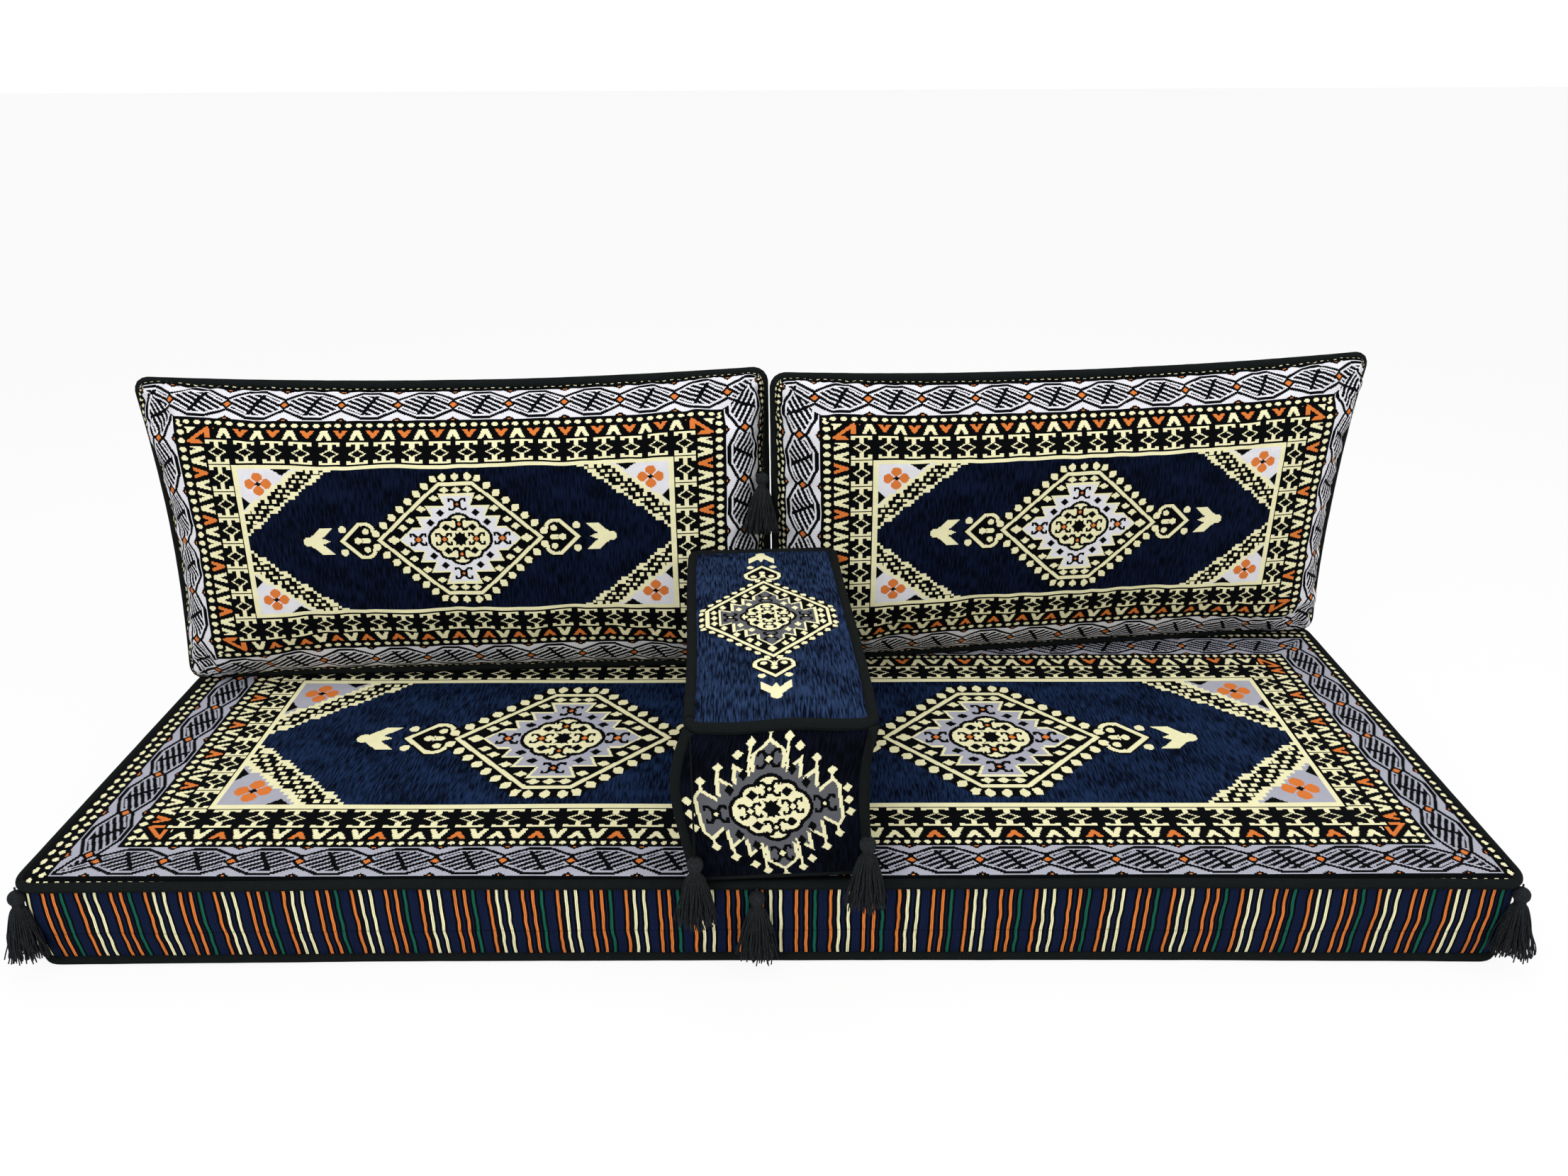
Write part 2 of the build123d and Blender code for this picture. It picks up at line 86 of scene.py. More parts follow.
for name, place, size, power in (
    ("front_panel_light", (-1.2, -2.6, 2.6), 2.4, 62),
    ("side_panel_light", (2.4, -1.2, 2.2), 2.0, 26),
    ("overhead_light", (0.0, 0.2, 3.0), 2.6, 34),
):
    lamp = bpy.data.lights.new(name, "AREA")
    lamp.size = size
    lamp.energy = power
    lamp_object = bpy.data.objects.new(name, lamp)
    lamp_object.location = place
    lamp_object.rotation_mode = "QUATERNION"
    lamp_object.rotation_quaternion = (Vector((0, 0, 0.2)) - Vector(place)).to_track_quat("-Z", "Y")
    bpy.context.scene.collection.objects.link(lamp_object)


def finish_of(name, **sockets):
    """A new material with its node tree and its main shader."""
    material = bpy.data.materials.new(name)
    material.use_nodes = True
    shader = material.node_tree.nodes["Principled BSDF"]
    for socket, value in sockets.items():
        shader.inputs[socket.replace("_", " ").title().replace("Ior", "IOR")].default_value = value
    return material, material.node_tree, shader


def mesh_object(name, points, faces, materials, face_material=None, cloth=None):
    """A mesh from points in metres; cloth gives each point's place on the flat cloth, as a UV map."""
    mesh = bpy.data.meshes.new(name)
    mesh.from_pydata([tuple(p) for p in points], [], [tuple(f) for f in faces])
    for material in materials:
        mesh.materials.append(material)
    if face_material is not None:
        mesh.polygons.foreach_set("material_index", np.asarray(face_material, np.int32))
    if cloth is not None:
        corner = np.zeros(len(mesh.loops), np.int32)
        mesh.loops.foreach_get("vertex_index", corner)
        layer = mesh.uv_layers.new(name="cloth")
        layer.data.foreach_set("uv", np.asarray(cloth, np.float32)[corner].ravel())
    mesh.polygons.foreach_set("use_smooth", [True] * len(mesh.polygons))
    mesh.update()
    piece = bpy.data.objects.new(name, mesh)
    bpy.context.scene.collection.objects.link(piece)
    return piece


floor_finish, tree, shader = finish_of("pale_floor", base_color=(0.9, 0.9, 0.9, 1), roughness=0.9)
glow = tree.nodes.new("ShaderNodeEmission")
glow.inputs["Strength"].default_value = 1
catch = tree.nodes.new("ShaderNodeMixShader")
path = tree.nodes.new("ShaderNodeLightPath")
share = tree.nodes.new("ShaderNodeMath")
share.operation = "MULTIPLY"
share.inputs[1].default_value = floor_glow
tree.links.new(path.outputs["Is Camera Ray"], share.inputs[0])
tree.links.new(share.outputs[0], catch.inputs[0])
tree.links.new(shader.outputs[0], catch.inputs[1])
tree.links.new(glow.outputs[0], catch.inputs[2])
tree.links.new(catch.outputs[0], tree.nodes["Material Output"].inputs[0])
floor = mesh_object(
    "floor",
    [(x * floor_reach, y * floor_reach, floor_level) for x, y in ((-1, -1), (1, -1), (1, 1), (-1, 1))],
    [(0, 1, 2, 3)],
    [floor_finish],
)


# ---------------------------------------------------------------- Tassel cords
# Thin twisted black cords. Two hang from the armrest's front corners and one from between the
# back cushions, each sewn on at its top with a tassel at its end.
cord_diameter, knob_end = 0.0026, 0.004
cord_lengths = {"armrest_left_tassel": 0.172, "armrest_right_tassel": 0.146, "cushion_tassel": 0.128}


def dye(red, green, blue):
    """A cloth colour, given as it looks on a screen, in the numbers that a shader takes."""
    return tuple(((c / 255 + 0.055) / 1.055) ** 2.4 if c > 10 else c / 3294.6 for c in (red, green, blue)) + (1,)


def two_tone(tree, shader, height, dark, light):
    """Colours a finish from a dark colour at low heights to a lighter one at high ones: fed a relief, this is
    painted shade in its hollows and painted light on its tops; fed noise, it is random tone.
    """
    ramp = tree.nodes.new("ShaderNodeValToRGB")
    ramp.color_ramp.elements[0].color, ramp.color_ramp.elements[1].color = dark, light
    tree.links.new(height, ramp.inputs[0])
    tree.links.new(ramp.outputs[0], shader.inputs["Base Color"])


def relief(tree, shader, height, strength, depth):
    """Gives a finish its grain, of this depth in metres."""
    bump = tree.nodes.new("ShaderNodeBump")
    bump.inputs["Strength"].default_value = strength
    bump.inputs["Distance"].default_value = depth
    tree.links.new(height, bump.inputs["Height"])
    tree.links.new(bump.outputs[0], shader.inputs["Normal"])


cord_finish, tree, shader = finish_of("twisted_black_cord", roughness=0.9, specular_ior_level=0.05)
place = tree.nodes.new("ShaderNodeTexCoord")
twist = tree.nodes.new("ShaderNodeTexWave")
twist.wave_type = "BANDS"
twist.bands_direction = "DIAGONAL"
twist.inputs["Scale"].default_value = 190
twist.inputs["Distortion"].default_value = 1.5
tree.links.new(place.outputs["Object"], twist.inputs["Vector"])
# Painted shade and light: the twist's hollows are coloured darker and its ridges lighter.
two_tone(tree, shader, twist.outputs[0], dye(6, 7, 8), dye(22, 24, 25))
relief(tree, shader, twist.outputs[0], 1, 0.0004)


def hanging(body):
    """Where a tassel is sewn on, and the way that it hangs from there."""
    pivot = next(joint["pos_m"] for joint in frame["joints"] if joint["child"] == body)
    points = np.array([tuple(v.co) for v in frame["nodes"][body].data.vertices])
    far = np.linalg.norm(points - pivot, axis=1)
    down = points[far > far.max() - knob_end].mean(0) - pivot
    return np.array(pivot), down / np.linalg.norm(down)


for body, length in cord_lengths.items():
    pivot, down = hanging(body)
    curve = bpy.data.curves.new(f"{body}_twisted_cord", "CURVE")
    curve.dimensions = "3D"
    curve.bevel_depth = cord_diameter / 2
    curve.bevel_resolution = 3
    curve.use_fill_caps = True
    curve.resolution_u = 8
    curve.materials.append(cord_finish)
    spline = curve.splines.new("NURBS")
    spline.points.add(2)
    for point, share in zip(spline.points, (0, 0.5, 1)):
        point.co = (*(pivot + down * length * share), 1)
    spline.order_u = 3
    spline.use_endpoint_u = True
    line = bpy.data.objects.new(f"{body}_twisted_cord", curve)
    bpy.context.scene.collection.objects.link(line)
    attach(line, body)
    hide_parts(f"{body}_cord")


# ---------------------------------------------------------------- Woven kilim cloth
# The covers are a flat weave of black, cream, white and orange yarn round a navy chenille field.
# A medallion lies in its middle, with borders of bars, chevrons, dots and hands out to the seams.
class Yarn:
    """A number that nodes work out all over a cloth, or along a strand. Arithmetic on it adds nodes."""

    def __init__(self, tree, socket):
        self.tree, self.socket = tree, socket

    def fed(self, node, places, values):
        """What a node gives when it is fed these values."""
        for place, value in zip(places, values):
            if isinstance(value, Yarn):
                self.tree.links.new(value.socket, place)
            else:
                place.default_value = value
        return Yarn(self.tree, node.outputs[0])

    def stitch(self, operation, *others):
        """One step of arithmetic."""
        node = self.tree.nodes.new("ShaderNodeMath")
        node.operation = operation
        return self.fed(node, node.inputs, (self, *others))

    def __add__(self, other):
        return self.stitch("ADD", other)

    def __sub__(self, other):
        return self.stitch("SUBTRACT", other)

    def __rsub__(self, other):
        return self * -1 + other

    def __mul__(self, other):
        return self.stitch("MULTIPLY", other)

    def __truediv__(self, other):
        return self.stitch("DIVIDE", other)

    def __lt__(self, other):
        return self.stitch("LESS_THAN", other)

    def __gt__(self, other):
        return self.stitch("GREATER_THAN", other)

    def __and__(self, other):
        return self.stitch("MULTIPLY", other)

    def __or__(self, other):
        return self.stitch("MAXIMUM", other)

    def __abs__(self):
        return self.stitch("ABSOLUTE")

    def near(self, middle, reach):
        """1 where the number is no further than this from the middle."""
        return self.stitch("COMPARE", middle, reach)

    def away(self, half_period, shift=0):
        """How far the point is from the nearest of a row of places, a period apart."""
        return (self + shift if shift else self).stitch("PINGPONG", half_period)

    def within(self, period, shift=0):
        """The place inside a repeat, from minus half a period to plus half."""
        return (self + (shift + period / 2)).stitch("FLOORED_MODULO", period) - period / 2

    def where(self, mask, other):
        """This number, and the other one where the mask is 1."""
        node = self.tree.nodes.new("ShaderNodeMix")
        return self.fed(node, (node.inputs[0], node.inputs[2], node.inputs[3]), (mask, self, other))


def any_of(first, *others):
    """1 where any of these masks is 1."""
    for other in others:
        first = first | other
    return first


def disc(across, along, radius):
    """How far outside a circle of this radius a point is; below 0 inside it."""
    return (across * across + along * along).stitch("SQRT") - radius


def lozenge(across, along, wide, tall):
    """1 inside a diamond of these half sizes."""
    return (across / wide + along / tall) < 1


def hooked_cross(p, q):
    """The black beetle of the rosettes: a round body with four hooked legs."""
    legs = (p - q * 0.75).near(0, 2.8) & (q < 10)
    hooks = q.near(9.4, 1.9) & p.near(9.5, 4.2)
    tips = p.near(12.5, 1.7) & q.near(7.5, 2.6)
    return legs | hooks | tips | (disc(p, q, 6.4) < 0)


BLACK, CREAM, GROUND, ORANGE, FIELD = range(5)


def leaves(a, b, steps):
    """1 inside the leafy outline: each leaf is from one b to the next and runs out to a slope in a."""
    return any_of(*(
        b.near((start + end) / 2, (end - start) / 2) & (a < ((b - start) * slope + reach))
        for start, end, reach, slope in steps))


def flames(yarn, a, b, steps, eye, lobe, top, edging, dots=BLACK, upright=True):
    """The leaf-edged ground round a rosette, edged in cream, with beetles and black dots on it."""
    yarn = yarn.where(leaves(a, b, steps), CREAM)
    yarn = yarn.where(leaves(a + edging, b, steps) & leaves(a, b + edging, steps), GROUND)
    yarn = yarn.where(lozenge(abs(a - 28), abs(b - 46), 7.5, 6) | lozenge(abs(a - 45), abs(b - 29), 7.5, 6), dots)
    side, above = abs(a - lobe), abs(b - top)
    (p, q), (r, s) = ((side, b), (a, above)) if upright else ((b, side), (above, a))
    yarn = yarn.where(hooked_cross(p, q) | hooked_cross(r, s), BLACK)
    return yarn.where(lozenge(side, b, 4.6, 4.6) | lozenge(a, above, 3, 3), eye)


def rosette(yarn, a, b, eye):
    """The flower of eight lobes with four beetles, a black middle and a black line round it."""
    lobes = disc(a - 26.5, b, 21.5).stitch("MINIMUM", disc(a, b - 25.5, 17))
    lobes = lobes.stitch("MINIMUM", disc(a - 20.5, b - 20, 12))
    yarn = yarn.where(lobes < 4, BLACK)
    yarn = yarn.where(lobes < -0.8, CREAM)
    side, above, beetle = abs(a - 26), abs(b - 26), 0.96
    crosses = hooked_cross(side / beetle, b / beetle) | hooked_cross(a / beetle, above / beetle)
    spots = lozenge(abs(a - 21), abs(b - 20.5), 7.6, 7) | lozenge(a, b, 12, 12)
    yarn = yarn.where(crosses | spots, BLACK)
    return yarn.where(lozenge(side, b, 4.4, 4.4) | lozenge(a, above, 3, 3), eye)


long_leaves = ((0, 21.5, 98, -1.1), (21.5, 40, 60, 0.4), (40, 58.5, 43, 0.45), (58.5, 80, 21, 0.4))


def medallion(yarn, a, b, eye=ORANGE, dots=BLACK, ring_at=12.6, ring_half=8):
    """The long hexagon with its dotted rings, the leaves inside and a pendant at each end."""
    slant = (a - 129) * 0.690 + b * 0.724
    edge = slant.stitch("MAXIMUM", b - 98)
    on_slant = slant > (b - 98)
    along = a.where(on_slant, b * 0.690 - (a - 129) * 0.724 - 4)
    x = a - 152
    heart = disc(x, b - 15, 16.5)
    point = ((a - 193) * 0.7 + b * 0.714).stitch("MAXIMUM", x * -1)
    heart = heart.stitch("MINIMUM", point.stitch("MAXIMUM", b - 31.5))
    heart = heart.stitch("MAXIMUM", 134 - a)
    yarn = yarn.where(heart < 3, BLACK)
    yarn = yarn.where(heart.near(-2.6, 3), CREAM)
    scroll = disc(x + 2, b - 15.5, 5.2).stitch("MINIMUM", disc(a - 164, b, 5.5))
    scroll = scroll.stitch("MINIMUM", (b - 2).stitch("MAXIMUM", a - 164))
    yarn = yarn.where((scroll < 0) & (heart < 0) | (disc(a - 187, b - 20, 6) < 0), CREAM)
    wings = (a * 0.67 + b * 0.742).near(159, 7) & (b < 23)
    bird = wings | lozenge(abs(a - 226), b, 18, 8) | (disc(a - 243, b, 8.5) < 0)
    yarn = yarn.where(bird, CREAM)
    yarn = yarn.where(edge < (ring_at + 0.85 * ring_half), BLACK)
    ring = lozenge(along.away(9.9), abs(edge - ring_at), 9, ring_half)
    yarn = yarn.where(ring & (along.away(9.9) < 6), CREAM)
    yarn = yarn.where(edge.near(0, 2.9), CREAM)
    drops = any_of(*(
        lozenge(abs(a - da), abs(b - db), 8.2 * size, 5.9 * size) for da, db, size in (
            (0, 87, 1), (18.5, 87, 1), (36, 72, 1), (58, 53, 1), (77, 33, 1), (90, 21, 1), (106, 0, 1.35))))
    yarn = yarn.where(drops, CREAM)
    yarn = flames(yarn, a, b, long_leaves, eye, lobe=67, top=61, edging=3.6, dots=dots)
    return rosette(yarn, a, b, eye)


def hands_band(yarn, s, t, period, inside):
    """The wide band of combs, called hands, in long cells between black waves that meet at orange dots.

    t is from minus 22 at the band's inner edge to 22 at its outer one."""
    x, y = s.away(period / 2), abs(t)
    c = s.within(period, period / 2)
    wave = (x * 0.36 + 7.5).stitch("MINIMUM", 18.5)
    lines = (y - wave).near(0, 2)
    slope = t + c * 0.42
    in_cell = (y < (wave - 4.4)) & (x > 8)
    strokes = slope.within(7).near(0, 2.2) & in_cell
    palm = abs(c - t * 0.8).near(0, 3.2) & in_cell
    dots = lozenge(x, y, 11, 7.5) | lozenge(x, abs(y - 22.5), 12, 5.2)
    yarn = yarn.where(inside, GROUND)
    yarn = yarn.where(inside & (lines | strokes | palm | dots), BLACK)
    return yarn.where(inside & (lozenge(x, y, 5.6, 3.8) | lozenge(x, abs(y - 22.5), 5.5, 2.4)), ORANGE)


def kilim(u, v, middle, rows, columns, scale, medallion_at, all_orange):
    """The whole panel: field, corner pieces, medallions and borders, as yarn numbers over the cloth.

    u and v are millimetres from the panel's middle. middle is half the cream rectangle. rows and
    columns say how far out from it each border of the long and the short sides begins and ends,
    and how far apart its figures are. scale is how large the field's own figures are."""
    a, b = abs(u), abs(v)
    ta, tb = a - middle[0], b - middle[1]
    on_row = (tb * (columns["hands"][1] / rows["hands"][1])) > ta
    out_by = ta.stitch("MAXIMUM", tb)
    s = (v * -1).where(on_row, u)

    def band(name):
        """The place across a border, from minus 1 at its inner edge to 1 at its outer one."""
        across = []
        for t, sizes in ((ta, columns), (tb, rows)):
            low, high = sizes[name][:2]
            across.append((t - (low + high) / 2) / ((high - low) / 2))
        return across[0].where(on_row, across[1])

    def repeat(name):
        """Places along a border, stretched so that its figures are 10 apart on all four sides."""
        return s * (on_row * (10 / rows[name][2] - 10 / columns[name][2]) + 10 / columns[name][2])

    # Field: a long hexagon with a stepped cream edge, and a checked band outside it.
    step, tall, wide = 6.2 * scale, 8.8 * scale, 12 * scale
    rise, run = middle[1] - 22 * scale, 134 * scale

    def out_of_field(a, b):
        return ((a - (middle[0] - 5 - run)) / run + (b - 12) / rise - 1) * (1 / math.hypot(1 / run, 1 / rise))

    slant = out_of_field(*((x / step).stitch("FLOOR") * step + step / 2 for x in (a, b)))
    from_medallion = abs(a - medallion_at) if medallion_at else a
    yarn = medallion(a.where(1.0, FIELD), from_medallion / scale, b / scale)
    yarn = yarn.where(slant > 0, CREAM)
    yarn = yarn.where(slant > 6 * scale, BLACK)
    across, along = b.within(tall), (a + (b / tall + 0.5).stitch("FLOOR") * (wide / 2)).within(wide)
    check = across.near(0, 2.7 * scale) & along.near(0, 3.5 * scale)
    yarn = yarn.where(check & out_of_field(a - along, b - across).near(16.5 * scale, 7.5 * scale), CREAM)
    yarn = yarn.where(slant > 27 * scale, CREAM)
    yarn = yarn.where(slant > 35 * scale, GROUND)

    # Corner pieces: an orange flower of four petals and two small dark triangles.
    fx, fy = abs(a - (middle[0] - 33 * scale)), abs(b - (middle[1] - 29 * scale))
    petals = disc(fx - 12.5 * scale, fy, 8.6 * scale).stitch("MINIMUM", disc(fx, fy - 11 * scale, 8.6 * scale))
    yarn = yarn.where((petals < 0) & (abs(fx * 0.85 - fy) > 1.3 * scale), ORANGE)
    yarn = yarn.where(lozenge(fx, fy, 5.5 * scale, 4.5 * scale), BLACK)
    low, high = middle[0] - 4, middle[1] - 4
    wedges = lozenge(abs(a - (low - 68 * scale)), abs(b - high), 15 * scale, 11 * scale)
    wedges = wedges | lozenge(abs(a - low), abs(b - (high - 58 * scale)), 11 * scale, 12 * scale)
    yarn = yarn.where(wedges, BLACK)
    yarn = yarn.where(out_by > -4, CREAM)
    yarn = yarn.where(out_by > 4, BLACK)

    # Border of I shapes, upright all round: barred ends with square feet, and a hollow diamond between.
    t = band("bars")
    x = repeat("bars").away(5, 5)
    p = (abs(t) * 17.6).where(on_row, x * 4.4)
    q = (x * 4).where(on_row, abs(t) * 19.6)
    diamond = p / 15 + q / 8.6
    figures = q.near(17.7, 1.5) | (p.near(14, 3.2) & (q > 12.8)) | ((p < 3.5) & (q > 7.5)) | diamond.near(0.87, 0.13)
    limit = (diamond > 0.74) & (p < 17.2) & (q < 19.2) & (ta < columns["bars"][1] + 1)
    yarn = yarn.where(t.near(0, 1) & limit & figures, CREAM)

    # Border of chevrons: those that point inwards are orange in turn, the others cream.
    t = band("chevrons")
    half = t * 0.5 + 0.5
    low = half.where(on_row, half * 1.3 - 0.33)
    along = repeat("chevrons") + on_row * (5 if all_orange else 0)
    x = along.away(5)
    inward = (x < (low * 2.15 + 0.35)) & (x > (low * 2.3 - 1.25)) & (low > 0)
    outward = ((x * -1 + 5) < (half * -1.7 + 2.45)) & ((x * -1 + 5) > (half * -2.4 + 1.2))
    every = ((along / 10 + 0.5).stitch("FLOOR") + 1 - on_row).within(2).near(0, 0.45)
    if all_orange:
        every = every | on_row
    yarn = yarn.where(t.near(0, 0.92) & (outward | inward), CREAM)
    yarn = yarn.where(t.near(0, 0.92) & inward & every, ORANGE)
    p, q = ((t - sizes["chevrons"][0]) / (sizes["chevrons"][1] - sizes["chevrons"][0])
            for t, sizes in ((ta, columns), (tb, rows)))
    yarn = yarn.where(t.near(0, 1) & (p > -0.55) & (q > -0.7), BLACK)
    hook = (p + q).near(0.62, 0.17) & (p > -0.3) & (q > -0.35)
    hook = hook | (p.near(-0.22, 0.13) & q.near(0.42, 0.38)) | (q.near(-0.28, 0.16) & p.near(0.42, 0.38))
    yarn = yarn.where(hook & t.near(0, 1), ORANGE)
    yarn = yarn.where(((p + q) > 1.3) & t.near(0, 0.92), CREAM)

    # Row of dots, the hands, and the small dots beside the seam.
    for name, wide, tall in (("dots", 4.3, 1.15), ("edge_dots", 4.2, 1.1), ("last_dots", 4.4, 1.2)):
        if name == "edge_dots":
            yarn = hands_band(yarn, repeat("hands") * 8.8, band("hands") * 22, 88, band("hands").near(0, 1))
        t = band(name)
        x = repeat(name).away(5)
        yarn = yarn.where((x / wide + abs(t) / tall < 1) & (x < wide * 0.72) & t.near(0, 1), CREAM)
    return yarn


def cloth_millimetres(tree):
    """The cloth's own UV map in millimetres."""
    node = tree.nodes.new("ShaderNodeUVMap")
    node.uv_map = "cloth"
    split = tree.nodes.new("ShaderNodeSeparateXYZ")
    tree.links.new(node.outputs[0], split.inputs[0])
    return [Yarn(tree, split.outputs[n]) * 1000 for n in (0, 1)]


def in_stitches(place, width=1.7):
    """The place on the cloth, the same all over a stitch."""
    return (place / width).stitch("FLOOR") * width


def noise_of(tree, u, v, fine_u, fine_v, detail):
    """Noise on the cloth, with its own fineness along and across, in repeats a millimetre."""
    join = tree.nodes.new("ShaderNodeCombineXYZ")
    tree.links.new((u * fine_u).socket, join.inputs[0])
    tree.links.new((v * fine_v).socket, join.inputs[1])
    noise = tree.nodes.new("ShaderNodeTexNoise")
    noise.inputs["Scale"].default_value = 1
    noise.inputs["Detail"].default_value = detail
    tree.links.new(join.outputs[0], noise.inputs["Vector"])
    return Yarn(tree, noise.outputs[0])


def spun(place, period):
    """The swell and dip of threads that lie this many millimetres apart."""
    return (place * (2 * math.pi / period)).stitch("SINE")


def unblended(tree, number, stops, shade):
    """Colours that start sharply at their places along a number, made lighter or darker by a shade."""
    ramp = tree.nodes.new("ShaderNodeValToRGB")
    ramp.color_ramp.interpolation = "CONSTANT"
    for count, (place, colour) in enumerate(stops):
        stop = ramp.color_ramp.elements[count] if count < 2 else ramp.color_ramp.elements.new(place)
        stop.position = place
        stop.color = colour
    tree.links.new(number.socket, ramp.inputs[0])
    tinted = tree.nodes.new("ShaderNodeVectorMath")
    tinted.operation = "SCALE"
    tree.links.new(ramp.outputs[0], tinted.inputs[0])
    tree.links.new(shade.socket, tinted.inputs[3])
    return tinted.outputs[0]


black_yarn, cream_yarn, orange_yarn = dye(6, 7, 9), dye(240, 235, 190), dye(218, 122, 58)


def woven(tree, shader, yarn, u, v, ground, pile_with_painted_light):
    """Colours the yarns, streaks the chenille, and raises the weave. The twill's hollows are painted darker as
    shade, and the two pile colours carry painted light on faces that look up and painted shade on upright ones.
    """
    twill, rib = spun(v + u * 0.55, 2.5), spun(u, 3.1)
    tone = noise_of(tree, u, v, 0.05, 0.05, 3)
    streak = noise_of(tree, u, v, 0.42, 0.045, 4)
    patch = noise_of(tree, u, v, 0.012, 0.02, 2)
    colours = enumerate((black_yarn, cream_yarn, ground, orange_yarn))
    flat = unblended(tree, yarn / 8, [(max(0.0, (number - 0.5) / 8), colour) for number, colour in colours],
                     twill * 0.085 + 0.93 + (tone - 0.5) * 0.18)
    # Chenille: streaks between the two pile colours, which hold the face's painted light and shade.
    chenille = tree.nodes.new("ShaderNodeMix")
    chenille.data_type = "RGBA"
    chenille.inputs[6].default_value, chenille.inputs[7].default_value = pile_with_painted_light
    level = (streak - 0.5) * 4.2 + 0.45 + (patch - 0.5) * 1.6
    level.socket.node.use_clamp = True
    tree.links.new(level.socket, chenille.inputs[0])
    field = yarn.near(FIELD, 0.4)
    final = tree.nodes.new("ShaderNodeMix")
    final.data_type = "RGBA"
    tree.links.new(field.socket, final.inputs[0])
    tree.links.new(flat, final.inputs[6])
    tree.links.new(chenille.outputs[2], final.inputs[7])
    tree.links.new(final.outputs[2], shader.inputs["Base Color"])
    height = (twill * 0.25 + rib * 0.12 + (yarn > 0.5) * 0.5).where(field, streak * 1.8)
    relief(tree, shader, height.socket, 0.55, 0.0009)


# ---------------------------------------------------------------- Mattress cover
# A long boxed cover over foam: a kilim top, a striped band round the sides in two strips that
# join at the middle of the front, and a plain underside. The sides bulge and the seams pull in.
half_length, half_depth, mattress_corner = 1.0, 0.35, 0.028
top_seam, under_seam, highest_top = 0.135, 0.008, 0.1468
edge_reach, top_rise, top_unevenness, under_sag = 0.034, 0.0095, 0.0011, 0.0076
seam_waviness, under_waviness_share, front_pull, band_bulge, band_unevenness = 0.0022, 0.3, 0.006, 0.0045, 0.0012
slot_middle, slot_half, zip_half_length = 0.0715, 0.0055, 0.9
piping_radius, piping_sides, piping_step, piping_unevenness = 0.007, 12, 0.006, 0.035


def spread(count, edge_power):
    """Places from minus 1 to 1, closer together near the ends."""
    t = np.linspace(-1, 1, count)
    return np.sign(t) * (1 - (1 - np.abs(t)) ** edge_power)


def rounded(x, y, half_x, half_y, radius):
    """Turns the corners of a grid into round ones, with no point lost."""
    qx = np.maximum(np.abs(x) - (half_x - radius), 0)
    qy = np.maximum(np.abs(y) - (half_y - radius), 0)
    far = np.hypot(qx, qy)
    pull = np.where(far > 0, np.maximum(qx, qy) / np.maximum(far, 1e-9), 1)
    return (
        np.sign(x) * (np.minimum(np.abs(x), half_x - radius) + qx * pull),
        np.sign(y) * (np.minimum(np.abs(y), half_y - radius) + qy * pull),
    )


def domed(share):
    """How much of its rise a cover has reached at a share of the way in from its seam."""
    return np.sqrt(1 - (1 - np.minimum(share, 1)) ** 3.6)


def crown(inset_x, inset_y, reach):
    """The same for a point this far in from two seams that meet."""
    nearest = (np.maximum(inset_x, 1e-6) ** -4 + np.maximum(inset_y, 1e-6) ** -4) ** -0.25
    return domed(nearest / reach)


def grid_faces(columns, rows, start=0, flip=False, gap=None):
    """Quads over a grid of points, counted row by row. gap is left open: its columns and rows."""
    faces = []
    for j in range(rows - 1):
        for i in range(columns - 1):
            if gap and gap[0] <= i < gap[1] and gap[2] <= j < gap[3]:
                continue
            k = start + j * columns + i
            quad = (k, k + 1, k + 1 + columns, k + columns)
            faces.append(quad[::-1] if flip else quad)
    return faces


def line_at(places, line):
    """Which of a grid's lines is nearest to this one."""
    return np.argmin(np.abs(places - line))


def smooth_wave(along, waves, seed):
    """A gentle uneven wave round a closed seam, from 0 to 1 along it, between about -1 and 1."""
    chance = np.random.default_rng(seed)
    total = np.zeros_like(along)
    for number in waves:
        total += np.sin(2 * math.pi * number * along + chance.uniform(0, 6.3)) * chance.uniform(0.5, 1)
    return total / len(waves)


def piping(name, path, radius, body, seam, seed, closed=True, normal=(0, 0, 1)):
    """A corded seam: a fuzzy round cord along a path in one plane."""
    path = np.asarray(path, float)
    if closed:
        path = np.concatenate([path, path[:1]])
    lengths = np.concatenate([[0], np.cumsum(np.linalg.norm(np.diff(path, axis=0), axis=1))])
    count = max(8, int(lengths[-1] / piping_step))
    places = np.linspace(0, lengths[-1], count, endpoint=not closed)
    centre = np.stack([np.interp(places, lengths, path[:, n]) for n in range(3)], -1)
    if closed:
        tangent = np.roll(centre, -1, 0) - np.roll(centre, 1, 0)
    else:
        tangent = np.gradient(centre, axis=0)
    tangent /= np.linalg.norm(tangent, axis=1)[:, None]
    side = np.cross(tangent, np.asarray(normal, float))
    side /= np.linalg.norm(side, axis=1)[:, None]
    upward = np.cross(side, tangent)
    thick = radius * (1 + piping_unevenness * smooth_wave(places / lengths[-1], (23, 41, 67, 103), seed))
    points, cloth = [], []
    for number in range(piping_sides):
        angle = 2 * math.pi * number / piping_sides
        points.append(centre + thick[:, None] * (math.cos(angle) * side + math.sin(angle) * upward))
        cloth.append(np.stack([places, np.full(count, radius * angle)], -1))
    faces = []
    for i in range(count if closed else count - 1):
        here, beyond = i * piping_sides, (i + 1) % count * piping_sides
        for number in range(piping_sides):
            following = (number + 1) % piping_sides
            faces.append((here + number, beyond + number, beyond + following, here + following))
    if not closed:
        faces.append(tuple(range(piping_sides)))
        faces.append(tuple((count - 1) * piping_sides + number for number in range(piping_sides))[::-1])
    cord = mesh_object(
        name, np.stack(points, 1).reshape(-1, 3), faces, [black_cord], cloth=np.stack(cloth, 1).reshape(-1, 2))
    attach(cord, body)
    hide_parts(seam)


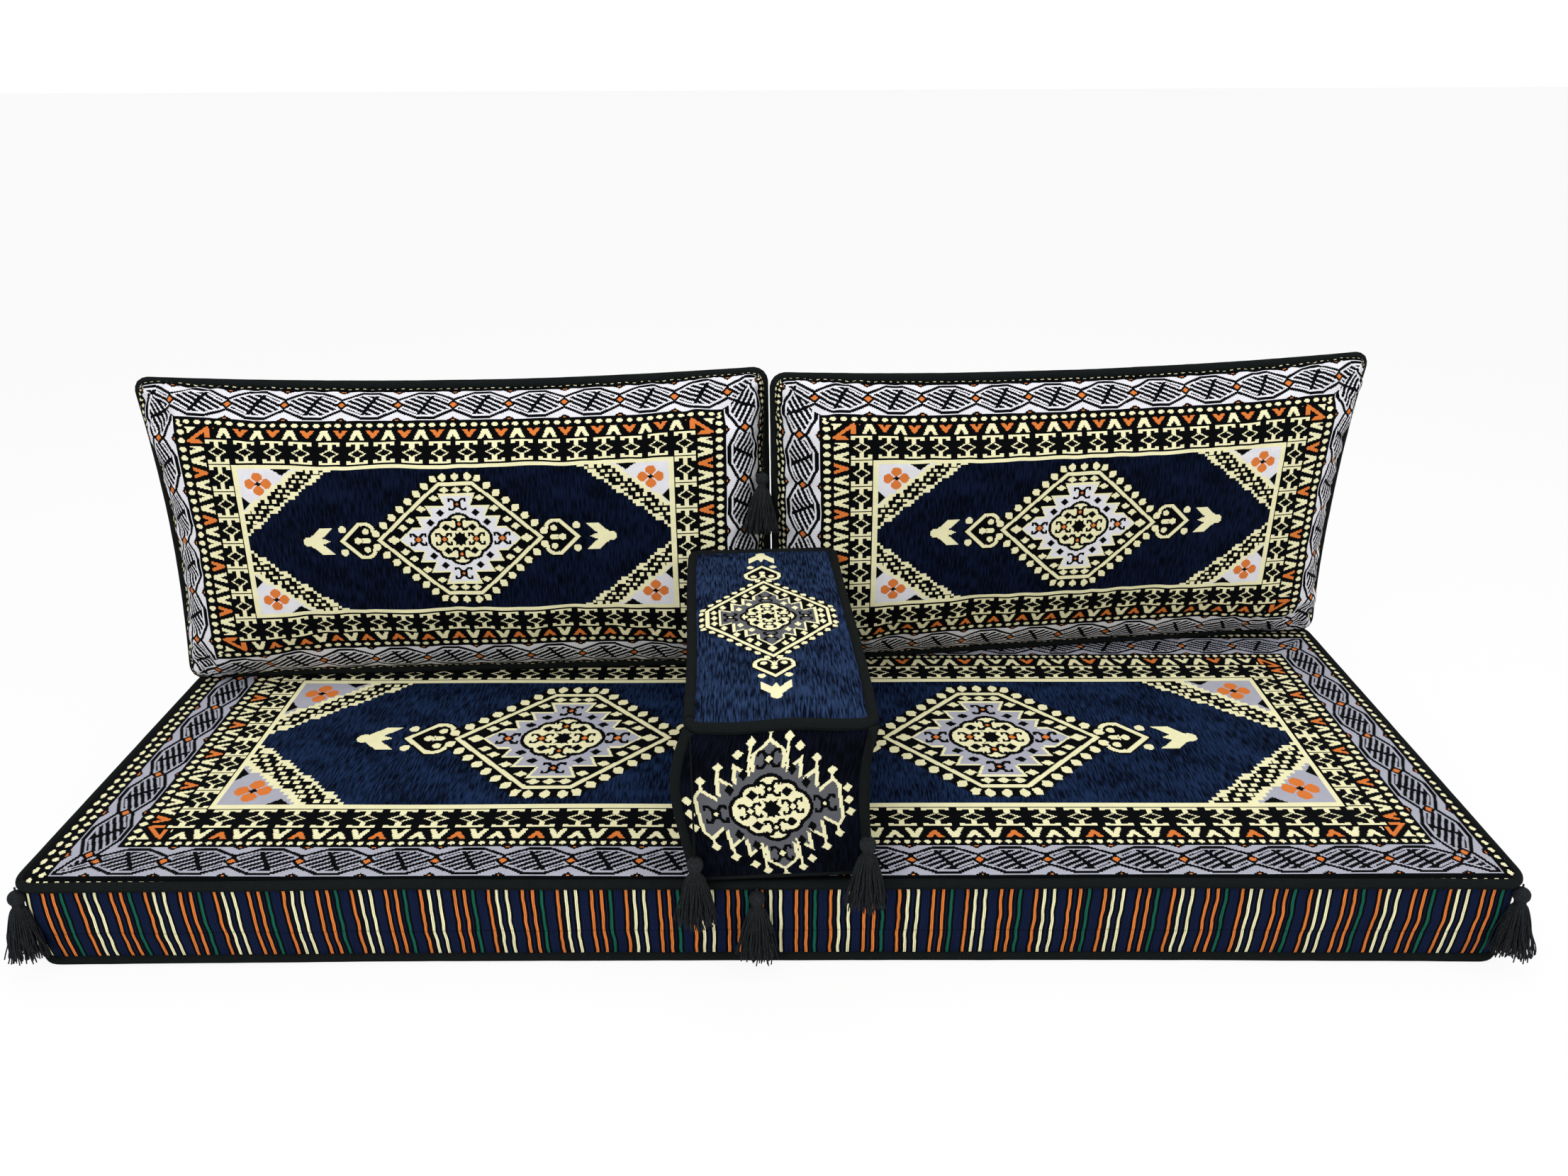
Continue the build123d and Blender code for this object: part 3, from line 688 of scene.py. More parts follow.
def rim_of(columns, rows):
    """The grid's outer points in order, anticlockwise from its lower left."""
    rim = list(range(columns))
    rim += [(j + 1) * columns - 1 for j in range(1, rows)]
    rim += [(rows - 1) * columns + i for i in range(columns - 2, -1, -1)]
    rim += [j * columns for j in range(rows - 2, 0, -1)]
    return rim


def ripple(x, y, waves, seed):
    """Soft unevenness of stuffed cloth, between about minus 1 and 1."""
    chance = np.random.default_rng(seed)
    total = np.zeros_like(x)
    for _ in range(9):
        turn, size = chance.uniform(0, 2 * math.pi), chance.uniform(0.6, 1.7)
        total += np.sin(waves * size * (x * math.cos(turn) + y * math.sin(turn)) + chance.uniform(0, 6.3))
    return total / 4.5


def weld(piece, reach=1e-6):
    """Joins the points that lie on each other, where two panels of a cover meet.

    Gives back a way to look up where points went, by the numbers that they had before."""
    before = np.zeros(len(piece.data.vertices) * 3)
    piece.data.vertices.foreach_get("co", before)
    shape = bmesh.new()
    shape.from_mesh(piece.data)
    bmesh.ops.remove_doubles(shape, verts=shape.verts, dist=reach)
    bmesh.ops.delete(shape, geom=[v for v in shape.verts if not v.link_faces], context="VERTS")
    shape.to_mesh(piece.data)
    shape.free()
    after = {tuple(round(c, 5) for c in v.co): v.index for v in piece.data.vertices}
    before = before.reshape(-1, 3)

    def kept(numbers):
        keys = (tuple(round(float(c), 5) for c in before[n]) for n in numbers)
        return [after[key] for key in keys if key in after]

    return kept


columns, rows = 181, 65
x, y = np.meshgrid(half_length * spread(columns, 1.35), half_depth * spread(rows, 1.35))
swell = crown(half_length - np.abs(x), half_depth - np.abs(y), edge_reach)
x, y = rounded(x, y, half_length, half_depth, mattress_corner)
y = y + front_pull * (1 - (x / half_length) ** 2) * np.clip(-y / half_depth, 0, 1) ** 3
top_z = top_seam + top_rise * swell + top_unevenness * ripple(x, y, 14, 3) * swell
seam_wave = seam_waviness * ripple(x, y * 0.3, 11, 5) * (1 - swell)
top_points = np.stack([x, y, np.minimum(top_z, highest_top) + seam_wave], -1).reshape(-1, 3)
rim = rim_of(columns, rows)
top_rim = top_points[rim]
low_rim = top_rim.copy()
low_rim[:, 2] = under_seam + under_waviness_share * (top_rim[:, 2] - top_seam)
bottom_points = np.stack([x, y, under_seam - under_sag * swell], -1).reshape(-1, 3)
bottom_points[rim] = low_rim

# The band runs round the rim, from the top seam down to the lower one, and bulges between them.
levels = (top_seam, 0.128, 0.118, 0.106, 0.094, 0.084, 0.0795, slot_middle + slot_half,
          slot_middle - slot_half, 0.0635, 0.055, 0.044, 0.033, 0.022, 0.013, under_seam)
loop = np.concatenate([top_rim, top_rim[:1]])
run = np.concatenate([[0], np.cumsum(np.linalg.norm(np.diff(loop[:, :2], axis=0), axis=1))])
middle_run = run[line_at(top_rim[:columns, 0], 0)]
outward = np.roll(top_rim, -1, 0)[:, :2] - np.roll(top_rim, 1, 0)[:, :2]
outward = np.stack([outward[:, 1], -outward[:, 0]], -1)
outward /= np.linalg.norm(outward, axis=1)[:, None]
points, cloth = [top_points], [top_points[:, :2]]
for height in levels:
    t = (top_seam - height) / (top_seam - under_seam)
    ring = top_rim * (1 - t) + low_rim * t
    bulge = math.sin(math.pi * t) * (band_bulge + band_unevenness * np.sin(top_rim[:, 0] * 37))
    ring[:, :2] += outward * (bulge * np.clip(1 - outward[:, 1], 0, 1))[:, None]
    ring = np.concatenate([ring, ring[:1]])
    points.append(ring)
    cloth.append(np.stack([run - middle_run, ring[:, 2]], -1))

faces = grid_faces(columns, rows)
face_material = [0] * len(faces)
count = len(loop)
for level, (upper, lower) in enumerate(zip(levels, levels[1:])):
    at_slot = abs(upper + lower - 2 * slot_middle) < slot_half
    for i in range(count - 1):
        by_zip = abs(top_rim[i, 0] + top_rim[(i + 1) % len(rim), 0]) < 2 * zip_half_length
        if at_slot and by_zip and top_rim[i, 1] > half_depth - 1e-4:
            continue
        k = len(top_points) + level * count + i
        faces.append((k, k + count, k + count + 1, k + 1))
        face_material.append(2 if outward[i, 1] > 0.7 else 1)
bottom_faces = grid_faces(columns, rows, sum(len(p) for p in points), flip=True)
faces += bottom_faces
face_material += [2] * len(bottom_faces)
points.append(bottom_points)
cloth.append(bottom_points[:, :2])

kilim_finish = {"roughness": 0.88, "specular_ior_level": 0.03}
mattress_cloth, tree, shader = finish_of("mattress_kilim", **kilim_finish)
u, v = cloth_millimetres(tree)
yarn = kilim(
    in_stitches(u, 1.9) - 9,
    in_stitches(v, 1.9) + 20,
    (817, 172),
    rows={"bars": (6, 47, 50.97), "chevrons": (50, 72, 55.5), "dots": (76, 84, 14), "hands": (88, 146, 92),
          "edge_dots": (152, 161, 14), "last_dots": (166, 173, 18.5)},
    columns={"bars": (6, 42, 44.11), "chevrons": (46, 69, 40), "dots": (73, 85, 15), "hands": (89, 150, 92),
             "edge_dots": (155, 164, 15), "last_dots": (169, 177, 18)},
    scale=1.3,
    medallion_at=340,
    all_orange=False,
)
# Painted light: the pile colours are lighter on this top, which looks up, than on the upright faces.
woven(tree, shader, yarn, u, v, ground=dye(172, 173, 186), pile_with_painted_light=(dye(2, 6, 18), dye(25, 42, 74)))

# Stripes of the band: cream, orange and green cords between navy ribs, with black on both sides.
band_cloth, tree, shader = finish_of("striped_band", roughness=0.85, specular_ior_level=0.03)
u, v = cloth_millimetres(tree)
stripe_repeat, stripe_width, edge_width, rib_navy = 91, 0.043, 0.034, dye(17, 27, 55)
stripes = ((0.02, cream_yarn), (0.165, cream_yarn), (0.395, orange_yarn), (0.54, orange_yarn),
           (0.665, dye(22, 92, 76)), (0.9, orange_yarn), (1.02, cream_yarn))
stops = [(0.0, black_yarn)]
for (place, colour), (following, _) in zip(stripes, stripes[1:]):
    stops += [(place, colour), (place + stripe_width, black_yarn),
              (place + stripe_width + edge_width, rib_navy), (following - edge_width, black_yarn)]
wander = (noise_of(tree, u, v, 0.012, 0.03, 1) - 0.5) * 5
rib, twist, tuck = spun(u, 2.6), spun(v * 1.6 + u, 4.2), (v - 58).near(0, 1.4)
# Painted shade: the hollows of the ribs and twist and the crease of the tuck are coloured darker, over random tone
# from the noise.
shade = (rib * 0.26 + twist * 0.08 + (noise_of(tree, u, v, 0.5, 0.02, 3) - 0.5) * 0.7 + 0.9) - tuck * 0.25
striped = unblended(tree, ((u + wander) / stripe_repeat).stitch("FRACT"), stops, shade)
tree.links.new(striped, shader.inputs["Base Color"])
relief(tree, shader, (rib * 0.4 + twist * 0.15 - tuck * 1.2).socket, 0.6, 0.001)

# Plain navy cotton on what doesn't show.
plain_cloth, tree, shader = finish_of("plain_navy_cotton", roughness=0.9, specular_ior_level=0.05)
u, v = cloth_millimetres(tree)
threads = spun(u, 1.4) * spun(v, 1.4)
tone = threads * 0.15 + noise_of(tree, u, v, 0.03, 0.03, 4)
# Painted shade between the threads, small, over random tone from the noise.
two_tone(tree, shader, tone.socket, dye(12, 15, 26), dye(26, 31, 52))
relief(tree, shader, threads.socket, 0.4, 0.0005)

mattress_cover = mesh_object(
    "mattress_cover", np.concatenate(points), faces, [mattress_cloth, band_cloth, plain_cloth], face_material,
    np.concatenate(cloth),
)
weld(mattress_cover)
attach(mattress_cover, "mattress")
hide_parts(*(f"mattress_{part}" for part in (
    "top_panel", "bottom_panel", "foam_core", "front_band_left", "front_band_right", "rear_band_lower",
    "rear_band_upper")))

# Black fuzzy yarn wound over a core, sewn into the two seams.
black_cord, tree, shader = finish_of("black_fuzzy_cord", roughness=0.95, specular_ior_level=0.04)
u, v = cloth_millimetres(tree)
wind = spun(u + v * 0.35, 2.4)
fuzz, lint = noise_of(tree, u, v, 0.9, 0.9, 5), noise_of(tree, u, v, 0.08, 0.1, 3)
# Painted shade in the hollows of the winding, with fuzz and lint as random tone.
two_tone(tree, shader, (wind * 0.14 + fuzz * 0.6 + lint * 0.25).socket, dye(7, 9, 9), dye(34, 38, 38))
relief(tree, shader, (wind * 0.35 + fuzz * 1.1).socket, 0.8, 0.0012)
piping("mattress_top_cord", top_rim, piping_radius, "mattress", "mattress_top_piping", 4)
piping("mattress_bottom_cord", low_rim, piping_radius, "mattress", "mattress_bottom_piping", 5)

# ---------------------------------------------------------------- Back cushions
# Two loose knife-edge pillows, stuffed full, that stand on their lower seams. The front has the
# kilim panel of one medallion, the back is plain with a zip near its foot.
cushion_half_length, cushion_half_height, cushion_corner = 0.5, 0.2525, 0.018
front_crown, back_crown, crown_reach, over_crown = 0.065, 0.052, 0.2525, 0.004
end_draw, inner_end_draw, top_draw = 0.014, 0.0022, 0.014
fold_start, fold_reach, front_fold, back_fold, front_puff, back_puff = 0.008, 0.04, 0.0042, 0.002, 0.0016, 0.001
foot_sag, zip_calm_reach, wander_reach = 0.05, 0.03, 0.05
cloth_half_length, cloth_half_height = 0.525, 0.29
cushion_foot, cushion_zip_up, cushion_zip_half = 0.1523, 0.15, 0.32
seam_wander, loose_piping_radius, piping_proud = 0.0035, 0.0077, 0.0005
stuffing_pressure, stuffing_limit = 3.5, 0.009

cushion_cloth, tree, shader = finish_of("cushion_kilim", **kilim_finish)
u, v = cloth_millimetres(tree)
yarn = kilim(
    in_stitches(u),
    in_stitches(v),
    (343, 130),
    rows={"bars": (6, 46, 43.06), "chevrons": (48, 68, 50.5), "dots": (71, 79, 16.4), "hands": (83, 143, 88),
          "edge_dots": (149, 156, 12), "last_dots": (160, 167, 14)},
    columns={"bars": (6, 40, 44.57), "chevrons": (42, 69, 40), "dots": (72, 85, 14.4), "hands": (89, 156, 88),
             "edge_dots": (160, 167, 12), "last_dots": (171, 178, 14)},
    scale=1,
    medallion_at=0,
    all_orange=True,
)
# Painted shade: the pile colours are darker on these upright faces than on the tops.
woven(tree, shader, yarn, u, v, ground=dye(226, 226, 232), pile_with_painted_light=(dye(1, 4, 11), dye(13, 22, 46)))


def plump(piece, held, pressure, cap, slack=0.03, frames=20):
    """Blows a sewn cover up as its stuffing does, so that its cloth folds at the seams, then keeps that shape.

    held are the points on the seams, which stay, and cap is how far any other point may go."""
    start = np.zeros(len(piece.data.vertices) * 3)
    piece.data.vertices.foreach_get("co", start)
    piece.vertex_groups.new(name="sewn").add([int(n) for n in held], 1, "REPLACE")
    filled = piece.modifiers.new("stuffing", "CLOTH")
    settings = filled.settings
    settings.quality = 5
    settings.mass = 0.25
    settings.tension_stiffness = settings.compression_stiffness = 25
    settings.shear_stiffness = 6
    settings.bending_stiffness = 1.2
    settings.vertex_group_mass = "sewn"
    settings.use_pressure = True
    settings.uniform_pressure_force = pressure
    settings.shrink_min = -slack
    settings.effector_weights.gravity = 0
    filled.collision_settings.use_collision = False
    filled.point_cache.frame_start, filled.point_cache.frame_end = 1, frames
    for number in range(1, frames + 1):
        bpy.context.scene.frame_set(number)
    blown = piece.evaluated_get(bpy.context.evaluated_depsgraph_get()).data
    end = np.zeros(len(start))
    blown.vertices.foreach_get("co", end)
    piece.modifiers.remove(filled)
    piece.vertex_groups.clear()
    move = (end - start).reshape(-1, 3)
    far = np.linalg.norm(move, axis=1)[:, None]
    move *= cap * np.tanh(far / cap) / np.maximum(far, 1e-9)
    piece.data.vertices.foreach_set("co", start + move.ravel())
    piece.data.update()
    bpy.context.scene.frame_set(1)


def with_lines(places, *lines):
    """The places of a grid's lines, with the nearest of them moved onto each of these lines."""
    places = places.copy()
    for line in lines:
        places[line_at(places, line)] = line
    return places


def slot_edge(columns, left, right, low, high):
    """The grid points round an open slot."""
    return [j * columns + i for j in range(low, high + 1) for i in range(left, right + 1)
            if i in (left, right) or j in (low, high)]


def arc_share(half, reach, rise):
    """How far along the cloth each inset from the seam is, as a table of two rows."""
    inset = np.linspace(0, half, 400)
    height = rise * domed(inset / reach)
    length = np.concatenate([[0], np.cumsum(np.hypot(np.diff(inset), np.diff(height)))])
    return inset, length / length[-1]


def cushion(name, place, turn_deg, lean_deg, seed, inner):
    """One cushion where it stands. inner is 1 or minus 1, the side on which it meets the other one."""
    turn, lean = math.radians(turn_deg), math.radians(lean_deg)
    right = np.array([math.cos(turn), math.sin(turn), 0])
    front = np.array([math.cos(lean) * math.sin(turn), -math.cos(lean) * math.cos(turn), math.sin(lean)])
    upward = np.cross(front, right)
    origin = np.array([*place, cushion_foot]) + upward * cushion_half_height
    columns, rows = 161, 91
    zip_y = cushion_zip_up - cushion_half_height
    x_lines = with_lines(cushion_half_length * spread(columns, 1.5), -cushion_zip_half, cushion_zip_half)
    y_lines = with_lines(cushion_half_height * spread(rows, 1.5), zip_y - slot_half, zip_y + slot_half)
    x, y = np.meshgrid(x_lines, y_lines)
    inset_x, inset_y = cushion_half_length - np.abs(x), cushion_half_height - np.abs(y)
    nearest = np.minimum(inset_x, inset_y)
    table_x = arc_share(cushion_half_length, crown_reach, front_crown)
    table_y = arc_share(cushion_half_height, crown_reach, front_crown)
    cloth = np.stack([
        np.sign(x) * cloth_half_length * (1 - np.interp(inset_x, *table_x)),
        np.sign(y) * cloth_half_height * (1 - np.interp(inset_y, *table_y)),
    ], -1).reshape(-1, 2)
    px, py = rounded(x, y, cushion_half_length, cushion_half_height, cushion_corner)
    draw = np.where(px * inner > 0, inner_end_draw, end_draw * (1 - (y / cushion_half_height) ** 2))
    px = px - np.sign(px) * draw * np.abs(x / cushion_half_length) ** 3
    py = py - top_draw * (1 - (x / cushion_half_length) ** 2) * np.clip(y / cushion_half_height, 0, 1) ** 3

    # Folds gather at the seams and die out towards the middle.
    gather = np.exp(-nearest / fold_reach) * np.minimum(nearest / fold_start, 1)
    chance = np.random.default_rng(seed)
    folds = np.zeros_like(x)
    for _ in range(7):
        size, phase = chance.uniform(70, 190), chance.uniform(0, 6.3)
        folds += np.where(inset_y < inset_x, np.sin(x * size + phase), np.sin(y * size + phase))
    folds = folds / 7 * gather
    swell = crown(inset_x, inset_y, crown_reach)
    puff = ripple(x, y, 9, seed + 10) * swell
    sag = 1 + foot_sag * np.clip(-y / cushion_half_height, -1, 1)
    z_front = front_crown * 1.01 * swell * sag + front_fold * folds + front_puff * puff
    z_front = np.minimum(z_front, front_crown + over_crown)
    zip_calm = 1 - np.exp(-(((y - zip_y) / zip_calm_reach) ** 4))
    z_back = -back_crown * np.minimum(swell / 0.97, 1) - (back_fold * folds + back_puff * puff) * zip_calm

    # The seam itself wanders a little in and out of its plane.
    around = np.arctan2(y, x) / (2 * math.pi) + 0.5
    wander = seam_wander * smooth_wave(around, (2, 3, 5, 8), seed + 20) * np.exp(-nearest / wander_reach)

    def standing(across, up, out):
        """From the cushion's own measures to the frame."""
        local = np.stack([across, up, out], -1).reshape(-1, 3)
        return origin + local[:, :1] * right + local[:, 1:2] * upward + local[:, 2:] * front

    sheets = [standing(px, py, z + wander) for z in (z_front, z_back)]
    rim = rim_of(columns, rows)
    sheets[1][rim] = sheets[0][rim]
    gap = (line_at(x_lines, -cushion_zip_half), line_at(x_lines, cushion_zip_half),
           line_at(y_lines, zip_y - slot_half), line_at(y_lines, zip_y + slot_half))
    front_faces = grid_faces(columns, rows)
    back_faces = grid_faces(columns, rows, len(sheets[0]), flip=True, gap=gap)
    cover = mesh_object(
        f"{name}_cover", np.concatenate(sheets), front_faces + back_faces, [cushion_cloth, plain_cloth],
        [0] * len(front_faces) + [1] * len(back_faces), np.concatenate([cloth, cloth]),
    )
    kept = weld(cover)
    seam = np.concatenate([rim, len(sheets[0]) + np.array(slot_edge(columns, *gap))])
    plump(cover, kept(seam), stuffing_pressure, stuffing_limit)
    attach(cover, name)
    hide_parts(f"{name}_front_panel", f"{name}_back_panel", f"{name}_filling")
    seam_line = standing(
        px * (1 + piping_proud / cushion_half_length), py * (1 + piping_proud / cushion_half_height), wander)[rim]
    piping(f"{name}_cord", seam_line, loose_piping_radius, name, f"{name}_piping", seed, normal=front)


cushion("left_cushion", (-0.505, 0.194), 2.7, 8.1, 31, 1)
cushion("right_cushion", (0.505, 0.274), 6.7, 2.6, 47, -1)

# ---------------------------------------------------------------- Armrest
# A stuffed box that stands across the middle of the mattress. Its top has one small medallion,
# its front a rosette, and cords run round the top and down the front.
arm_width, arm_length, arm_height = 0.225, 0.5, 0.236
half_w, half_l, half_h = arm_width / 2, arm_length / 2, arm_height / 2
arm_foot, arm_turn = np.array([0.018, -0.338, 0.1453]), math.radians(3.2)
arm_right = np.array([math.cos(arm_turn), math.sin(arm_turn), 0])
arm_back = np.array([-math.sin(arm_turn), math.cos(arm_turn), 0])
arm_crown_reach, arm_top_crown, arm_front_crown, arm_bow = 0.06, 0.012, 0.014, 0.003
arm_sway, arm_slump, arm_lean, arm_left_bow, arm_belly_reach = 0.003, 0.004, 0.01, 0.009, 0.032
arm_zip_up, arm_zip_half, arm_top_unevenness, arm_front_unevenness = 0.06, 0.2, 0.0012, 0.0015
arm_cord_spread, arm_cord_proud, arm_cord_turn, arm_cord_foot = 1.012, 0.002, 0.012, 0.0075

arm_top_cloth, tree, shader = finish_of("armrest_top_kilim", **kilim_finish)
u, v = cloth_millimetres(tree)
a, b = abs(in_stitches(v, 1.5) - 12) / 0.8722, abs(in_stitches(u, 1.5) + 5) / 0.89
yarn = medallion(a.where(1.0, FIELD), a, b, eye=CREAM, dots=CREAM, ring_at=9.5, ring_half=4.8)
# Painted light: the pile colours are lighter on this top than on the armrest's front and sides, with painted sheen
# in the lighter streaks.
woven(tree, shader, yarn, u, v, ground=dye(92, 93, 98), pile_with_painted_light=(dye(4, 9, 24), dye(38, 56, 88)))

arm_front_cloth, tree, shader = finish_of("armrest_front_kilim", **kilim_finish)
u, v = cloth_millimetres(tree)
stitch_u, stitch_v, turned = in_stitches(u, 1.5), in_stitches(v, 1.5), math.radians(5)
a = abs(stitch_v * math.cos(turned) - stitch_u * math.sin(turned) - 4) / 1.25
b = abs(stitch_u * math.cos(turned) + stitch_v * math.sin(turned) + 3)
short_leaves = ((0, 21, 84, -0.75), (21, 42, 46, 0.7), (42, 62, 34, 0.7), (62, 80, 20, 0.7), (80, 90, 33, -1.2))
stems = any_of(*(b.near(place, 1.7) & (a < reach) for place, reach in ((23, 80), (59, 58), (79, 42))),
               (b < 1.7) & (a < 92))
drops = any_of(*(lozenge(abs(a - da), abs(b - db), 6, 6.6) for da, db in (
    (92, 0), (82, 23), (71, 37), (57, 59), (41, 79), (16, 98), (0, 98))))
yarn = a.where(1.0, FIELD).where(stems | drops, CREAM)
yarn = flames(yarn, a, b, short_leaves, eye=CREAM, lobe=60, top=67, edging=4.8, upright=False)
yarn = rosette(yarn, b, a * 1.08, CREAM)
# Painted shade: the front's pile colours are much darker than the top's, for the same navy chenille.
woven(tree, shader, yarn, u, v, ground=dye(92, 93, 98), pile_with_painted_light=(dye(1, 2, 4), dye(9, 13, 26)))

chenille_cloth, tree, shader = finish_of("plain_chenille", **kilim_finish)
u, v = cloth_millimetres(tree)
# Painted shade: the pile colours of the sides and back are darker than the top's, for the same navy chenille.
woven(tree, shader, u.where(1.0, FIELD), u, v, ground=dye(92, 93, 98), pile_with_painted_light=(dye(2, 5, 14), dye(16, 27, 56)))


def arm_place(across, back, height):
    """From the armrest's own measures to the frame, with the slump of a stuffed block."""
    share = height / arm_height
    belly = np.sin(math.pi * np.clip(share, 0, 1) ** 1.5) * np.exp(-((np.maximum(back, 0) / arm_belly_reach) ** 2))
    leftward = arm_lean + arm_left_bow * np.clip(-across / half_w, 0, 1)
    across = across + arm_sway * np.sin(back * 9 + 0.6) * share - leftward * belly
    height = height - arm_slump * share * np.sin(across * 22 - 0.3) ** 2 * np.exp(-back / 0.12)
    across, back, height = (np.asarray(value, float)[..., None] for value in (across, back, height))
    return arm_foot + across * arm_right + back * arm_back + height * np.array([0, 0, 1])


def arm_side(p, q, across, back, height, material, flip=False, gap=None):
    """One side of the block, over a grid of the cloth's measures p and q."""
    start = sum(len(s) for s in sheets)
    sheets.append(arm_place(across, back, height).reshape(-1, 3))
    cloth.append(np.stack([p, q], -1).reshape(-1, 2))
    quads = grid_faces(p.shape[1], p.shape[0], start, flip, gap)
    faces.extend(quads)
    face_material.extend([material] * len(quads))


def risen(p, q, half_p, half_q):
    """How far a side has risen between its seams, from 0 to 1."""
    return crown(half_p - np.abs(p), half_q - np.abs(q), arm_crown_reach)


columns, rows, layers = 35, 73, 37
x_lines, y_lines = half_w * spread(columns, 1.4), half_l * spread(rows, 1.4)
z_lines = half_h * (spread(layers, 1.4) + 1)
y_lines = with_lines(y_lines, -arm_zip_half, arm_zip_half)
z_lines = with_lines(z_lines, arm_zip_up - slot_half, arm_zip_up + slot_half)
gap = (line_at(y_lines, -arm_zip_half), line_at(y_lines, arm_zip_half),
       line_at(z_lines, arm_zip_up - slot_half), line_at(z_lines, arm_zip_up + slot_half))
sheets, cloth, faces, face_material = [], [], [], []

x, y = np.meshgrid(x_lines, y_lines)
rise = risen(x, y, half_w, half_l)
top = arm_height + arm_top_crown * rise + arm_top_unevenness * ripple(x, y, 22, 8) * rise
arm_side(x, y, x, y + half_l, top, 0)
fx, fz = np.meshgrid(x_lines, z_lines)
rise = risen(fx, fz - half_h, half_w, half_h)
front = -arm_front_crown * rise - arm_front_unevenness * ripple(fx, fz, 30, 9) * rise
arm_side(fx, fz - half_h, fx, front, fz, 1)
arm_side(fx, fz - half_h, fx, arm_length + arm_bow * rise, fz, 2, flip=True)
arm_side(x, y, x, y + half_l, x * 0, 3, flip=True)
sy, sz = np.meshgrid(y_lines, z_lines)
rise = risen(sy, sz - half_h, half_l, half_h)
arm_side(sy, sz - half_h, sy * 0 - half_w, sy + half_l, sz, 2, flip=True, gap=gap)
arm_side(sy, sz - half_h, half_w + arm_bow * rise, sy + half_l, sz, 2)
armrest_cover = mesh_object(
    "armrest_cover", np.concatenate(sheets), faces,
    [arm_top_cloth, arm_front_cloth, chenille_cloth, plain_cloth], face_material, np.concatenate(cloth),
)
weld(armrest_cover, 0.0002)
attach(armrest_cover, "armrest")
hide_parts(*(f"armrest_{side}" for side in (
    "filling", "top_panel", "front_panel", "left_panel", "right_panel", "rear_panel", "bottom_panel")))


def cornered(corners, radius, closed, steps=6):
    """A path through corners with round turns, in two measures."""
    corners = [np.asarray(c, float) for c in corners]
    path = [] if closed else [corners[0]]
    numbers = range(len(corners)) if closed else range(1, len(corners) - 1)
    for n in numbers:
        here, before, after = corners[n], corners[n - 1], corners[(n + 1) % len(corners)]
        start = here + (before - here) / np.linalg.norm(before - here) * radius
        end = here + (after - here) / np.linalg.norm(after - here) * radius
        for t in np.linspace(0, 1, steps):
            path.append(start * (1 - t) ** 2 + 2 * here * t * (1 - t) + end * t**2)
    if not closed:
        path.append(corners[-1])
    dense, apart = [], 0.01
    pairs = zip(path, path[1:] + path[:1]) if closed else zip(path, path[1:])
    for start, end in pairs:
        pieces = max(1, int(np.linalg.norm(end - start) / apart))
        dense += [start + (end - start) * n / pieces for n in range(pieces)]
    if not closed:
        dense.append(path[-1])
    return np.array(dense)


path = cornered([(-half_w, 0), (half_w, 0), (half_w, arm_length), (-half_w, arm_length)], arm_cord_turn, True)
seam = arm_place(path[:, 0] * arm_cord_spread, path[:, 1], arm_height + arm_cord_proud)
piping("armrest_top_cord", seam, loose_piping_radius, "armrest", "armrest_top_piping", 12)
corners = [(-half_w, arm_height), (-half_w, arm_cord_foot), (half_w, arm_cord_foot), (half_w, arm_height)]
path = cornered(corners, arm_cord_turn, False)
seam = arm_place(path[:, 0] * arm_cord_spread, -arm_cord_proud, path[:, 1])
piping("armrest_front_cord", seam, loose_piping_radius, "armrest", "armrest_front_piping", 13,
       closed=False, normal=-arm_back)

# ---------------------------------------------------------------- Zips
# Coil zips lie in a slot in each cover: woven tapes, plastic teeth, and a small metal slider.
def speckle(tree, scale, detail):
    """Fine noise through the whole of a piece."""
    place = tree.nodes.new("ShaderNodeTexCoord")
    noise = tree.nodes.new("ShaderNodeTexNoise")
    noise.inputs["Scale"].default_value = scale
    noise.inputs["Detail"].default_value = detail
    tree.links.new(place.outputs["Object"], noise.inputs["Vector"])
    return noise.outputs[0]


for name, parts, dark, light, metal, rough in (
    ("zip_tape", ("zip_tapes",), dye(16, 18, 24), dye(26, 28, 36), 0, 0.9),
    ("zip_coil", ("zip_teeth",), dye(28, 28, 30), dye(40, 40, 42), 0, 0.4),
    ("zip_metal", ("zip_slider", "zip_pull"), dye(150, 150, 150), dye(176, 176, 172), 1, 0.35),
):
    material, tree, shader = finish_of(name, metallic=metal, roughness=rough)
    two_tone(tree, shader, speckle(tree, 400, 2), dark, light)
    for owner in ("mattress", "left_cushion", "right_cushion", "armrest"):
        for part in parts:
            node = frame["nodes"][f"{owner}_{part}"]
            node.data.materials.clear()
            node.data.materials.append(material)

# ---------------------------------------------------------------- Tassels
# Black yarn tassels: a bound head, a wound neck and a skirt of loose strands. Three hang from the
# mattress's front seam, two on cords down the armrest's front, one between the back cushions.
neck_length, head_diameter, head_height, head_half = 0.005, 0.021, 0.02, 0.0106
wrap_diameter, wrap_height, wrap_turns, wrap_groove = 0.015, 0.006, 4, 0.12
skirt_length, skirt_radius, skirt_flatness, tuck_in = 0.078, 0.028, 0.74, 0.002

black_strand, tree, shader = finish_of("black_yarn_strand", roughness=0.8, specular_ior_level=0.06)
fleck_and_glint = speckle(tree, 260, 4)
# The lighter flecks are partly painted highlights on the black strands and partly random tone; the same speckle
# bumps them.
two_tone(tree, shader, fleck_and_glint, dye(5, 6, 7), dye(46, 49, 52))
relief(tree, shader, fleck_and_glint, 0.5, 0.0006)


